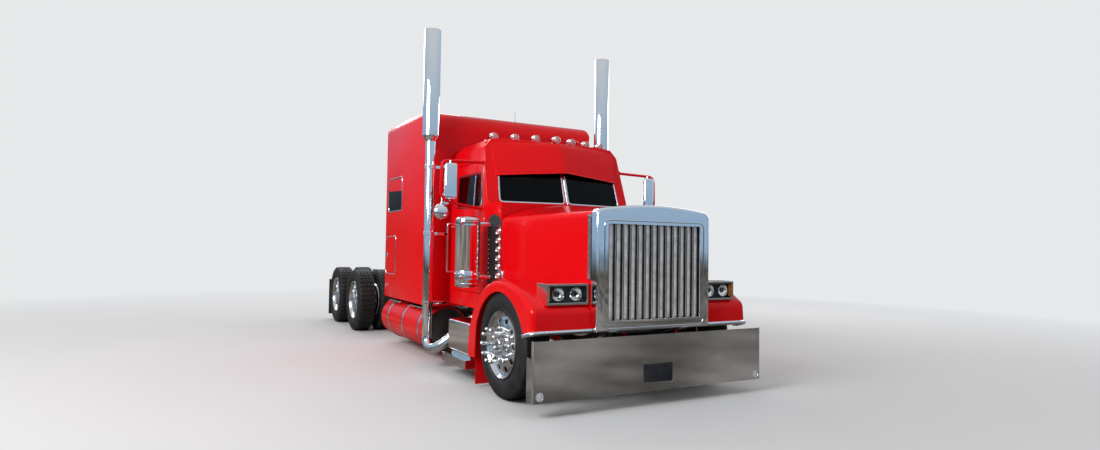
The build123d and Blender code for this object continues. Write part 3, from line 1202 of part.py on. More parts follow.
# Dashboard, and the steering column on the left.
with BuildPart() as dashboard:
    with BuildSketch(side(-740)):
        with BuildLine():
            Polyline(spot(1640, 1690), spot(1860, 1640), spot(1900, 1560), spot(1860, 1300), spot(1640, 1300), close=True)
        make_face()
    extrude(amount=1480)
    with BuildSketch(Plane(origin=(450, at(1850), 1500), z_dir=(0, 0.8, 0.55))):
        Circle(32)
    extrude(amount=135)
    add(cab_skin.part, mode=Mode.SUBTRACT)
dashboard.part.label = "dashboard"
export_step(dashboard.part, "parts/dashboard.step")

WHEEL_CENTRE = Vector(450, at(1850), 1500) + Vector(0, 0.8, 0.55).normalized() * 175
with BuildPart() as steering_wheel:
    with BuildSketch(Plane(origin=WHEEL_CENTRE, x_dir=(1, 0, 0), z_dir=(0, 0.8, 0.55))) as wheel_face:
        Circle(235)
        Circle(207, mode=Mode.SUBTRACT)
        with PolarLocations(0, 3, start_angle=90):
            Rectangle(215, 30, align=(Align.MIN, Align.CENTER))
        Circle(45)
    extrude(amount=22)
    with BuildSketch(Plane(origin=WHEEL_CENTRE, z_dir=(0, -0.8, -0.55))):
        Circle(20)
    extrude(amount=39)
steering_wheel.part.label = "steering_wheel"
export_step(steering_wheel.part, "parts/steering_wheel.step")

# Seats: a pedestal, cushion and back for driver and passenger.
SEAT_X = 450.0
SEAT_STATION = 2370.0
SEAT_BASE = 280.0
CUSHION = 130.0
with BuildPart() as seat_bases:
    for x in (-SEAT_X, SEAT_X):
        with Locations((x, at(SEAT_STATION), FLOOR_TOP)):
            Box(380, 400, SEAT_BASE, align=(Align.CENTER, Align.CENTER, Align.MIN))
seat_bases.part.label = "seat_bases"
export_step(seat_bases.part, "parts/seat_bases.step")

with BuildPart() as seat_cushions:
    for x in (-SEAT_X, SEAT_X):
        with Locations((x, at(SEAT_STATION), FLOOR_TOP + SEAT_BASE)):
            Box(520, 470, CUSHION, align=(Align.CENTER, Align.CENTER, Align.MIN))
        with BuildSketch(side(x - 250)):
            with BuildLine():
                Polyline(spot(2480, FLOOR_TOP + SEAT_BASE + 100), spot(2580, FLOOR_TOP + SEAT_BASE + 100),
                         spot(2640, 2080), spot(2550, 2080), close=True)
            make_face()
        extrude(amount=500)
seat_cushions.part.label = "seat_cushions"
export_step(seat_cushions.part, "parts/seat_cushions.step")
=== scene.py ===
import json
import math

import bmesh
import bpy
import numpy as np
from bpy.props import FloatProperty, FloatVectorProperty, IntProperty, PointerProperty
from bpy.types import Operator, Panel, PropertyGroup
from mathutils import Matrix, Vector

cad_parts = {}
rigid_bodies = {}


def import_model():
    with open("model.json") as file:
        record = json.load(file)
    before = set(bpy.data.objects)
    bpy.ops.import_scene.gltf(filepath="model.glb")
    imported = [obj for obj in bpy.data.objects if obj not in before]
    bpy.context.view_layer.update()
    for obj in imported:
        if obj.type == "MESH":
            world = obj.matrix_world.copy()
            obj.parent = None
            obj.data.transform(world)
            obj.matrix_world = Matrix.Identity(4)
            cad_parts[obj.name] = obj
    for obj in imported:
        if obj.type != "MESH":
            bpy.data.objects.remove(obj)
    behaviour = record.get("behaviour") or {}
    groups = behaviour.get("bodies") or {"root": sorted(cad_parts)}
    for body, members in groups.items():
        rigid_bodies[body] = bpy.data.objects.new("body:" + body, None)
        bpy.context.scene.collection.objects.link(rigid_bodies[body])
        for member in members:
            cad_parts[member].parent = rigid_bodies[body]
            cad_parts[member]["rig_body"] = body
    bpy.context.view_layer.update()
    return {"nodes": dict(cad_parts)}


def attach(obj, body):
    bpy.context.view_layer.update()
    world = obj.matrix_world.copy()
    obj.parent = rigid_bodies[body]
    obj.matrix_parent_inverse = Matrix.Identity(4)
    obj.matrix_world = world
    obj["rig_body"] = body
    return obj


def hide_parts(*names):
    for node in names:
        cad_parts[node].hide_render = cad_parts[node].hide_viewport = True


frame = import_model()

bl_info = {
    "name": "Sleeper tractor",
    "version": (1, 0, 0),
    "blender": (4, 5, 0),
    "location": "3D View > Sidebar > Tractor",
    "description": "Dresses the solids of a long-nose sleeper tractor with its finishes and fine pieces",
    "category": "Object",
}

LENGTH = 8.1
SIDES = (("left", 1.0), ("right", -1.0))
LEFTWARD, BACKWARD, UPWARD, FORWARD = (1, 0, 0), (0, 1, 0), (0, 0, 1), (0, -1, 0)
TYRE_RADIUS = 0.4785
AXLE_HEIGHT = TYRE_RADIUS
FRONT_AXLE = 0.787
DRIVE_AXLES = (("mid", 6.18), ("rear", 7.5))
STEER_TYRE_X = 1.005
DUAL_OUTER_X = 1.078
DUAL_INNER_X = 0.738
DUAL_MIDDLE = 0.908
COPLANAR = 0.3  # degrees between facets that count as one flat face


def at(station):
    """The Y of a length measured back from the bumper's face."""
    return station - LENGTH / 2


# ---- Meshes from arrays


def grid_faces(rows, columns, wrap_rows=False, wrap_columns=False):
    """Quads of a grid of points in row order, closed round either way on request."""
    last_row = rows if wrap_rows else rows - 1
    last_column = columns if wrap_columns else columns - 1
    i, j = np.meshgrid(np.arange(last_row), np.arange(last_column), indexing="ij")
    k, m = (i + 1) % rows, (j + 1) % columns
    quads = np.stack([i * columns + j, k * columns + j, k * columns + m, i * columns + m], -1)
    return quads.reshape(-1, 4)


def capped(faces, rows, columns):
    """The faces of a grid that wraps over its columns, with both of its open ends closed."""
    return faces.tolist() + [list(range(columns)), [(rows - 1) * columns + i for i in range(columns)][::-1]]


def joined(parts):
    """One part, which is a (points, faces) pair, from a list of them. A part by itself stays as it is."""
    if isinstance(parts, tuple):
        return parts
    points, faces, start = [], [], 0
    for some_points, some_faces in parts:
        some_points = np.asarray(some_points, float).reshape(-1, 3)
        points.append(some_points)
        faces += [[int(v) + start for v in face] for face in some_faces]
        start += len(some_points)
    return np.concatenate(points), faces


def mirrored(part):
    """The part on the other side of the truck: X negated, faces turned round."""
    points, faces = part
    return np.asarray(points, float) * (-1.0, 1.0, 1.0), [list(face)[::-1] for face in faces]


def on_side(part, sign):
    """The part as made, which is on the left, or its mirror image."""
    return part if sign > 0 else mirrored(part)


def axes_for(direction):
    """Three unit rows: the direction itself and two across it."""
    w = np.asarray(direction, float)
    w = w / np.linalg.norm(w)
    up = np.array([0.0, 0.0, 1.0]) if abs(w[2]) < 0.9 else np.array([1.0, 0.0, 0.0])
    u = np.cross(up, w)
    u /= np.linalg.norm(u)
    return np.array([w, u, np.cross(w, u)])


def turned(profile, centre, direction=LEFTWARD, segments=32, ring=False):
    """A lathe surface: each (along, radius) row is swept round the axis through centre.

    Point = centre + along * w + radius * (cos t * u + sin t * v). A ring's profile is a closed loop,
    and otherwise both ends are closed with a flat fan."""
    profile = np.asarray(profile, float)
    w, u, v = axes_for(direction)
    t = np.linspace(0, 2 * np.pi, segments, endpoint=False)
    around = np.cos(t)[:, None] * u + np.sin(t)[:, None] * v
    points = np.asarray(centre, float) + profile[:, 0, None, None] * w + profile[:, 1, None, None] * around
    faces = grid_faces(len(profile), segments, wrap_rows=ring, wrap_columns=True)
    return points.reshape(-1, 3), faces.tolist() if ring else capped(faces, len(profile), segments)


def band(half, centre, direction, segments):
    """A ring whose section is symmetric along the axis: half lists its (along, radius) rows from one foot
    up to the middle."""
    return turned([(-a, r) for a, r in half] + half[::-1], centre, direction, segments, ring=True)


def smooth_path(corners, radius, steps=8):
    """Points along straight runs whose corners are rounded: each corner is a quadratic curve
    from radius before it to radius after it."""
    corners = np.asarray(corners, float)
    path = [corners[0]]
    t = np.linspace(0, 1, steps)[:, None]
    for before, corner, after in zip(corners[:-2], corners[1:-1], corners[2:]):
        a, b = before - corner, after - corner
        reach = min(radius, 0.49 * np.linalg.norm(a), 0.49 * np.linalg.norm(b))
        a, b = a / np.linalg.norm(a) * reach + corner, b / np.linalg.norm(b) * reach + corner
        path.extend((1 - t) ** 2 * a + 2 * t * (1 - t) * corner + t ** 2 * b)
    path.append(corners[-1])
    return np.array(path)


def tube(path, radius, sides=16, flat=1.0):
    """A circle of the given radius (or radii) carried along a path with a frame that doesn't twist.

    Point = path + radius * (cos t * u + flat * sin t * v)."""
    path = np.asarray(path, float)
    radius = np.broadcast_to(np.asarray(radius, float), (len(path),))
    along = np.gradient(path, axis=0)
    along /= np.linalg.norm(along, axis=1)[:, None]
    u = np.empty_like(path)
    u[0] = axes_for(along[0])[1]
    for i in range(1, len(path)):
        step = u[i - 1] - along[i] * np.dot(u[i - 1], along[i])
        u[i] = step / np.linalg.norm(step)
    v = np.cross(along, u)
    t = np.linspace(0, 2 * np.pi, sides, endpoint=False)
    ring = np.cos(t)[None, :, None] * u[:, None] + flat * np.sin(t)[None, :, None] * v[:, None]
    points = path[:, None] + radius[:, None, None] * ring
    return points.reshape(-1, 3), capped(grid_faces(len(path), sides, wrap_columns=True), len(path), sides)


def rounded_block(low, high, radius, steps=4):
    """A block whose edges and corners are rounded: the points of a unit ball's grid, scaled by the
    radius and moved out to the nearest of the eight inner corners."""
    low, high = np.asarray(low, float), np.asarray(high, float)
    radius = min(radius, 0.499 * float((high - low).min()))
    quarter = np.linspace(0, np.pi / 2, steps)
    around = np.concatenate([quarter + k * np.pi / 2 for k in range(4)])
    signs = np.repeat([[1, 1], [-1, 1], [-1, -1], [1, -1]], steps, axis=0)
    rise = np.concatenate([quarter - np.pi / 2, quarter])
    rise_sign = np.repeat([-1, 1], steps)
    ball = np.stack([np.cos(rise)[:, None] * np.cos(around), np.cos(rise)[:, None] * np.sin(around),
                     np.sin(rise)[:, None] * np.ones(len(around))], -1)
    corner = np.stack([np.ones(len(rise))[:, None] * signs[:, 0], np.ones(len(rise))[:, None] * signs[:, 1],
                       rise_sign[:, None] * np.ones(len(around))], -1)
    middle, half = (low + high) / 2, (high - low) / 2 - radius
    points = middle + corner * half + ball * radius
    count = len(around)
    faces = grid_faces(len(rise), count, wrap_columns=True).tolist()
    faces.append(list(range(count))[::-1])
    faces.append([(len(rise) - 1) * count + i for i in range(count)])
    return points.reshape(-1, 3), faces


def prism(outline, origin, across, up, depth):
    """An outline of (across, up) rows pushed out by depth along the normal of its plane."""
    outline = np.asarray(outline, float)
    across, up = np.asarray(across, float), np.asarray(up, float)
    normal = np.cross(across, up)
    base = np.asarray(origin, float) + outline[:, :1] * across + outline[:, 1:] * up
    points = np.concatenate([base, base + normal * depth])
    count = len(outline)
    faces = [list(range(count))[::-1], list(range(count, 2 * count))]
    faces += [[i, (i + 1) % count, count + (i + 1) % count, count + i] for i in range(count)]
    return points, faces


def oval(half_width, half_height, power=2.0, count=32):
    """A superellipse outline: |x/a|^p + |y/b|^p = 1."""
    t = np.linspace(0, 2 * np.pi, count, endpoint=False)
    c, s = np.cos(t), np.sin(t)
    return np.stack([half_width * np.sign(c) * np.abs(c) ** (2 / power),
                     half_height * np.sign(s) * np.abs(s) ** (2 / power)], -1)


def closed_outline(corners, radius, steps=6):
    """A closed outline of (across, up) rows whose corners are rounded."""
    rows = [tuple(c) + (0.0,) for c in corners]
    middle = tuple((np.array(rows[0]) + np.array(rows[-1])) / 2)
    return smooth_path([middle] + rows + [middle], radius, steps)[:-1, :2]


def rounded_rectangle(half_width, half_height, radius):
    """A closed rectangle with round corners about its middle."""
    return closed_outline([(half_width, -half_height), (half_width, half_height), (-half_width, half_height),
                           (-half_width, -half_height)], radius)


def bead(outline, origin, across, up, width, height):
    """A raised line along a closed outline.

    Point = outline + width * cos t * (normal in the plane) + height * sin t * (normal of the plane)."""
    sides = 8
    outline = np.asarray(outline, float)
    across, up = np.asarray(across, float), np.asarray(up, float)
    along = np.roll(outline, -1, axis=0) - np.roll(outline, 1, axis=0)
    along /= np.linalg.norm(along, axis=1)[:, None]
    sideways = np.stack([along[:, 1], -along[:, 0]], -1)
    t = np.linspace(0, 2 * np.pi, sides, endpoint=False)
    flat = outline[:, None] + width * np.cos(t)[None, :, None] * sideways[:, None]
    rise = height * np.sin(t)[None, :, None] * np.cross(across, up)
    points = np.asarray(origin, float) + flat[..., :1] * across + flat[..., 1:] * up + rise
    return points.reshape(-1, 3), grid_faces(len(outline), sides, wrap_rows=True, wrap_columns=True).tolist()


def added(name, data):
    """A new object for the data, in the scene."""
    obj = bpy.data.objects.new(name, data)
    bpy.context.scene.collection.objects.link(obj)
    return obj


def piece(name, parts, body, finish, replaces="", slot="", bevel=0.0, angle=32.0):
    """Make one visible piece from a part or a list of parts, with its body, its finish and the CAD node
    that it stands in for. The slot argument is not used."""
    points, faces = joined(parts)
    mesh = bpy.data.meshes.new(name)
    mesh.from_pydata(np.asarray(points, float).reshape(-1, 3).tolist(), [], [list(map(int, f)) for f in faces])
    shape = merged_shape(mesh)
    bmesh.ops.recalc_face_normals(shape, faces=shape.faces)
    shape.to_mesh(mesh)
    shape.free()
    obj = added(name, mesh)
    dress(obj, body, finish, replaces, bevel, angle)
    return obj


def twin(name, parts, body, finish, *rest, **options):
    """A piece made of parts for the left and of their mirror images on the right."""
    part = joined(parts)
    return piece(name, [part, mirrored(part)], body, finish, *rest, **options)


def pair(name, parts, body, finish, replaces="", **options):
    """Two pieces, as on_side makes them, on the left and the right body of one name."""
    for side, sign in SIDES:
        piece(f"{name}_{side}", on_side(joined(parts), sign), f"{body}_{side}", finish,
              f"{replaces}_{side}" if replaces else "", **options)


def merged_shape(mesh):
    """The mesh as a BMesh without doubled points."""
    shape = bmesh.new()
    shape.from_mesh(mesh)
    bmesh.ops.remove_doubles(shape, verts=shape.verts, dist=1e-5)
    return shape


def thicken(obj, thickness):
    """Give an open sheet its thickness, on its inner side."""
    wall = obj.modifiers.new("sheet", "SOLIDIFY")
    wall.thickness = thickness
    wall.offset = -1.0


def dress(obj, body, finish, replaces, bevel, angle):
    """Finish a new piece: material, shading, bevel, body and the node that it stands in for."""
    mesh = obj.data
    mesh.materials.clear()
    mesh.materials.append(finish_of(finish))
    mesh.shade_smooth()
    mesh.set_sharp_from_angle(angle=math.radians(angle))
    if bevel:
        rounding = obj.modifiers.new("rounded edges", "BEVEL")
        rounding.width = bevel
        rounding.segments = 2
        rounding.limit_method = "ANGLE"
        rounding.angle_limit = math.radians(angle)
        rounding.harden_normals = True
    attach(obj, body)
    if replaces:
        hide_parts(replaces)


def skin(name, finish, bevel=0.003, angle=28.0):
    """A piece from a CAD node's own shape: a copy with its points merged, its coplanar facets joined and
    its edges rounded."""
    source = frame["nodes"][name]
    mesh = source.data.copy()
    mesh.name = name + "_skin"
    if "custom_normal" in mesh.attributes:
        mesh.attributes.remove(mesh.attributes["custom_normal"])
    shape = merged_shape(mesh)
    bmesh.ops.dissolve_limit(shape, angle_limit=math.radians(COPLANAR), verts=shape.verts, edges=shape.edges)
    shape.to_mesh(mesh)
    shape.free()
    dress(added(name + "_skin", mesh), source["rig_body"], finish, name, bevel, angle)


# ---- Finishes


def effect(name, inputs, outputs, build):
    """A shader node group, made once: inputs by name with their values, outputs by name. A socket named
    Colour carries a colour, one named Normal a vector and any other a value. build(tree, source, sink)
    wires it."""
    tree = bpy.data.node_groups.get(name)
    if tree:
        return tree
    tree = bpy.data.node_groups.new(name, "ShaderNodeTree")
    for label, value in inputs.items():
        tree.interface.new_socket(label, in_out="INPUT", socket_type=socket_kind(label)).default_value = value
    for label in outputs:
        tree.interface.new_socket(label, in_out="OUTPUT", socket_type=socket_kind(label))
    build(tree, tree.nodes.new("NodeGroupInput"), tree.nodes.new("NodeGroupOutput"))
    return tree


def socket_kind(label):
    """The type of a group's socket, from its name."""
    kinds = {"Colour": "Color", "Dust Colour": "Color", "Normal": "Vector"}
    return "NodeSocket" + kinds.get(label, "Float")


def wire(tree, target, **sources):
    """Link each source to the target's input of that name, with a space for each underscore."""
    for label, source in sources.items():
        tree.links.new(source, target.inputs[label.replace("_", " ")])


def node(tree, kind, links=(), **properties):
    """Add a node, set its properties, then link or set each (socket, source) of its inputs."""
    made = tree.nodes.new(kind)
    for key, value in properties.items():
        setattr(made, key, value)
    for socket, source in links:
        target = made.inputs[socket]
        if isinstance(source, bpy.types.NodeSocket):
            tree.links.new(source, target)
        else:
            target.default_value = source
    return made


def object_place(tree):
    """The Object coordinates."""
    return node(tree, "ShaderNodeTexCoord").outputs["Object"]


def height_of(tree, place):
    """The height in the given coordinates."""
    return node(tree, "ShaderNodeSeparateXYZ", [(0, place)]).outputs["Z"]


def bump(tree, height, strength, distance):
    """A Bump node's normal."""
    return node(tree, "ShaderNodeBump", [("Height", height), ("Strength", strength),
                                         ("Distance", distance)]).outputs["Normal"]


def scaled_noise(tree, scale, detail=3.0, roughness=0.55, stretch=(1, 1, 1)):
    """Noise on Object coordinates, stretched per axis."""
    turn = node(tree, "ShaderNodeMapping", [("Vector", object_place(tree)), ("Scale", stretch)])
    return node(tree, "ShaderNodeTexNoise", [("Vector", turn.outputs["Vector"]), ("Scale", scale),
                                             ("Detail", detail), ("Roughness", roughness)]).outputs["Fac"]


def math_node(tree, operation, a, b=0.0, clamp=False):
    """One Math node's output."""
    return node(tree, "ShaderNodeMath", [(0, a), (1, b)], operation=operation, use_clamp=clamp).outputs[0]


def vector_node(tree, operation, *inputs):
    """One Vector Math node."""
    return node(tree, "ShaderNodeVectorMath", list(inputs), operation=operation)


def stretch_range(tree, value, low, high, out_low=0.0, out_high=1.0):
    """Map Range from low..high to out_low..out_high."""
    return node(tree, "ShaderNodeMapRange", [("Value", value), ("From Min", low), ("From Max", high),
                                             ("To Min", out_low), ("To Max", out_high)]).outputs["Result"]


def mixed_colour(tree, mask, a, b):
    """A colour mix by a mask."""
    return node(tree, "ShaderNodeMix", [(0, mask), (6, a), (7, b)], data_type="RGBA").outputs[2]


def wire_dust(tree, source, sink):
    """Road dust: strongest near the ground and in broad blotches."""
    low = stretch_range(tree, height_of(tree, object_place(tree)), 0.0, 1.1, 1.0, 0.06)
    blotch = stretch_range(tree, scaled_noise(tree, 3.5, 6.0, 0.65), 0.35, 0.75)
    fine = scaled_noise(tree, 60.0, 3.0)
    mask = math_node(tree, "MULTIPLY", math_node(tree, "MULTIPLY", low, blotch), fine)
    mask = math_node(tree, "MULTIPLY", mask, source.outputs["Amount"], clamp=True)
    colour = mixed_colour(tree, mask, source.outputs["Colour"], source.outputs["Dust Colour"])
    rough = math_node(tree, "ADD", source.outputs["Roughness"], math_node(tree, "MULTIPLY", mask, 0.6), clamp=True)
    wire(tree, sink, Mask=mask, Colour=colour, Roughness=rough)


def dust_group():
    """Road dust over a colour and a roughness."""
    return effect("road dust", {"Colour": (0.5, 0.5, 0.5, 1), "Dust Colour": (0.22, 0.19, 0.16, 1),
                                "Roughness": 0.3, "Amount": 0.4}, ("Colour", "Roughness", "Mask"), wire_dust)


def wire_smear(tree, source, sink):
    """Polish marks: roughness varied by stretched noise, and a faint waviness for the normal."""
    streaks = scaled_noise(tree, 9.0, 5.0, 0.6, (1, 1, 0.25))
    rough = math_node(tree, "MULTIPLY", stretch_range(tree, streaks, 0.3, 0.7), source.outputs["Spread"])
    wave = scaled_noise(tree, source.outputs["Wave Scale"], 2.0)
    wire(tree, sink, Roughness=math_node(tree, "ADD", rough, source.outputs["Roughness"]),
         Normal=bump(tree, wave, source.outputs["Wave"], 0.01))


def smear_group():
    """Polish marks and slight waves of a bright sheet."""
    return effect("polish marks", {"Roughness": 0.05, "Spread": 0.06, "Wave": 0.05, "Wave Scale": 2.0},
                  ("Roughness", "Normal"), wire_smear)


def wire_grain(tree, source, sink):
    """Fine grain: a bump from noise and a small colour spread."""
    coarse = scaled_noise(tree, source.outputs["Scale"], 4.0, 0.6)
    shade = stretch_range(tree, scaled_noise(tree, 14.0, 5.0), 0.3, 0.7, 0.75, 1.25)
    bright = vector_node(tree, "SCALE", (0, source.outputs["Colour"]), ("Scale", shade))
    wire(tree, sink, Normal=bump(tree, coarse, source.outputs["Depth"], 0.002), Colour=bright.outputs[0])


def grain_group():
    """Grain of cast, moulded and hide surfaces."""
    return effect("fine grain", {"Colour": (0.1, 0.1, 0.1, 1), "Scale": 250.0, "Depth": 0.3}, ("Colour", "Normal"),
                  wire_grain)


def placed(tree, group, **values):
    """A group placed in a material's tree with its own values."""
    inputs = [(label.replace("_", " "), value) for label, value in values.items()]
    return node(tree, "ShaderNodeGroup", inputs, node_tree=group)


def blank(name, **values):
    """A new material's tree and its Principled shader, with plain values set on the shader's sockets."""
    material = bpy.data.materials.new(name)
    material.use_nodes = True
    tree = material.node_tree
    shader = tree.nodes["Principled BSDF"]
    for label, value in values.items():
        shader.inputs[label.replace("_", " ")].default_value = value
    return material, tree, shader


def look():
    """The finish settings."""
    return bpy.context.scene.tractor_finish


def colour4(value):
    """A colour with full alpha."""
    return (value[0], value[1], value[2], 1.0)


def make_paint(name):
    """Red body paint: a coloured base under a clear coat, a little dust low down."""
    material, tree, shader = blank(name, Coat_Weight=0.3, Coat_Roughness=0.03, Specular_IOR_Level=0.06)
    deep = colour4([c * 0.82 for c in look().body_colour])
    tint = mixed_colour(tree, scaled_noise(tree, 1.4, 3.0), deep, colour4(look().body_colour))
    dust = placed(tree, dust_group(), Colour=tint, Roughness=0.28, Amount=look().dust)
    wire(tree, shader, Base_Color=dust.outputs["Colour"], Roughness=dust.outputs["Roughness"])
    return material


def make_bright(name, tint, roughness, spread, wave, wave_scale, dust, crown=None):
    """Bright metal: chrome or polished aluminium. A crown (low, high, lift) leans the shading normal upwards
    between two heights, as a sheet rolled back at its top does."""
    material, tree, shader = blank(name, Metallic=1.0)
    marks = placed(tree, smear_group(), Roughness=roughness, Spread=spread, Wave=wave, Wave_Scale=wave_scale)
    film = placed(tree, dust_group(), Colour=colour4(tint), Roughness=marks.outputs["Roughness"], Amount=dust)
    normal = marks.outputs["Normal"]
    if crown:
        low, high, lift = crown
        lean = stretch_range(tree, height_of(tree, object_place(tree)), low, high, 0.0, lift)
        rise = node(tree, "ShaderNodeCombineXYZ", [(2, lean)])
        leaning = vector_node(tree, "ADD", (0, normal), (1, rise.outputs[0]))
        normal = vector_node(tree, "NORMALIZE", (0, leaning.outputs[0])).outputs[0]
    wire(tree, shader, Base_Color=film.outputs["Colour"], Roughness=film.outputs["Roughness"], Normal=normal)
    return material


def make_grained(name, tint, roughness, scale, depth, dust, metallic=0.0, coat=0.0):
    """Cast, moulded, painted or rubber surfaces with a fine grain and dust."""
    material, tree, shader = blank(name, Metallic=metallic, Coat_Weight=coat, Coat_Roughness=0.2)
    grain = placed(tree, grain_group(), Colour=colour4(tint), Scale=scale, Depth=depth)
    film = placed(tree, dust_group(), Colour=grain.outputs["Colour"], Roughness=roughness, Amount=dust)
    wire(tree, shader, Base_Color=film.outputs["Colour"], Roughness=film.outputs["Roughness"],
         Normal=grain.outputs["Normal"])
    return material


def make_glass(name, tint):
    """Clear or tinted glass with a faint film of dust in its roughness."""
    material, tree, shader = blank(name, IOR=1.22, Transmission_Weight=1.0)
    film = stretch_range(tree, scaled_noise(tree, 7.0, 4.0), 0.4, 0.8, 0.0, 0.05)
    shade = stretch_range(tree, scaled_noise(tree, 2.0, 2.0), 0.3, 0.7)
    dark = colour4([c * 0.9 for c in tint])
    wire(tree, shader, Roughness=film, Base_Color=mixed_colour(tree, shade, dark, colour4(tint)))
    return material


def make_lens(name, tint):
    """A moulded lamp lens: see-through colour with fine vertical flutes."""
    material, tree, shader = blank(name, IOR=1.35, Coat_Weight=0.15, Coat_Roughness=0.1, Transmission_Weight=0.25)
    wave = node(tree, "ShaderNodeTexWave", [("Vector", object_place(tree)), ("Scale", 60.0)])
    flutes = wave.outputs["Fac"]
    shade = mixed_colour(tree, scaled_noise(tree, 30.0), colour4([c * 0.7 for c in tint]), colour4(tint))
    wire(tree, shader, Normal=bump(tree, flutes, 0.25, 0.002), Base_Color=shade,
         Roughness=stretch_range(tree, flutes, 0, 1, 0.22, 0.32))
    return material


def make_tread_plate(name):
    """Aluminium deck plate: a raised diamond pattern from two crossed waves."""
    material, tree, shader = blank(name, Metallic=1.0)
    heights = []
    for turn in (0.785, -0.785):
        spin = node(tree, "ShaderNodeMapping", [("Vector", object_place(tree)), ("Rotation", (0, 0, turn))])
        wave = node(tree, "ShaderNodeTexWave", [("Vector", spin.outputs["Vector"]), ("Scale", 14.0)])
        heights.append(wave.outputs["Fac"])
    height = stretch_range(tree, math_node(tree, "MULTIPLY", heights[0], heights[1]), 0.45, 0.6)
    film = placed(tree, dust_group(), Colour=(0.62, 0.63, 0.64, 1), Roughness=0.3, Amount=0.6)
    wire(tree, shader, Normal=bump(tree, height, 0.8, 0.004), Base_Color=film.outputs["Colour"],
         Roughness=film.outputs["Roughness"])
    return material


FINISHES = {
    # name: record slot, maker and the maker's values in its own order
    "body paint": ("red_paint", make_paint),
    "chrome": ("chrome", make_bright, (0.82, 0.83, 0.85), 0.03, 0.03, 0.02, 1.5, 0.12),
    "crowned chrome": ("chrome", make_bright, (0.86, 0.88, 0.9), 0.03, 0.03, 0.03, 1.5, 0.1, (1.02, 1.42, 0.13)),
    "satin aluminium": ("chrome", make_grained, (0.9, 0.9, 0.92), 0.3, 60.0, 0.05, 0.0, 0.0, 0.4),
    "mirror sheet": ("chrome", make_bright, (0.74, 0.75, 0.77), 0.05, 0.06, 0.1, 1.2, 0.35),
    "polished aluminium": ("polished_aluminium", make_bright, (0.8, 0.81, 0.82), 0.1, 0.08, 0.03, 6.0, 0.35),
    "chassis black": ("frame_black", make_grained, (0.014, 0.014, 0.015), 0.38, 120.0, 0.15, 0.9, 0.0, 0.3),
    "cast iron": ("cast_iron", make_grained, (0.05, 0.048, 0.045), 0.6, 160.0, 0.5, 1.0, 0.3),
    "engine grey": ("engine_paint", make_grained, (0.16, 0.16, 0.17), 0.45, 120.0, 0.3, 0.5),
    "tyre rubber": ("tyre_rubber", make_grained, (0.0085, 0.0085, 0.009), 0.6, 180.0, 0.25, 0.22),
    "black rubber": ("flap_rubber", make_grained, (0.01, 0.01, 0.011), 0.5, 200.0, 0.2, 0.4),
    "window glass": ("dark_glass", make_glass, (0.03, 0.035, 0.04)),
    "lamp glass": ("clear_glass", make_glass, (0.93, 0.95, 0.97)),
    "mirror glass": ("chrome", make_bright, (0.7, 0.76, 0.82), 0.0, 0.01, 0.0, 1.0, 0.05),
    "amber lens": ("amber_lens", make_lens, (0.85, 0.25, 0.03)),
    "clear lens": ("clear_glass", make_lens, (0.85, 0.86, 0.88)),
    "red lens": ("amber_lens", make_lens, (0.55, 0.01, 0.01)),
    "rose lens": ("amber_lens", make_lens, (0.85, 0.42, 0.42)),
    "plate blank": ("frame_black", make_grained, (0.01, 0.013, 0.022), 0.35, 90.0, 0.15, 0.3),
    "moulded plastic": ("trim_plastic", make_grained, (0.022, 0.022, 0.024), 0.5, 300.0, 0.4, 0.1),
    "hide": ("seat_leather", make_grained, (0.035, 0.03, 0.028), 0.42, 420.0, 0.7, 0.0),
    "deck plate": ("polished_aluminium", make_tread_plate),
}


def finish_of(name):
    """The named material, made the first time it is asked for."""
    _, maker, *values = FINISHES[name]
    return bpy.data.materials.get(name) or maker(name, *values)


# ---- Wheels

TYRE_STEPS = 240
HAND_HOLES = 10
LUGS = 10
LUG_CIRCLE = 0.1429
AXLE_STUDS = 8


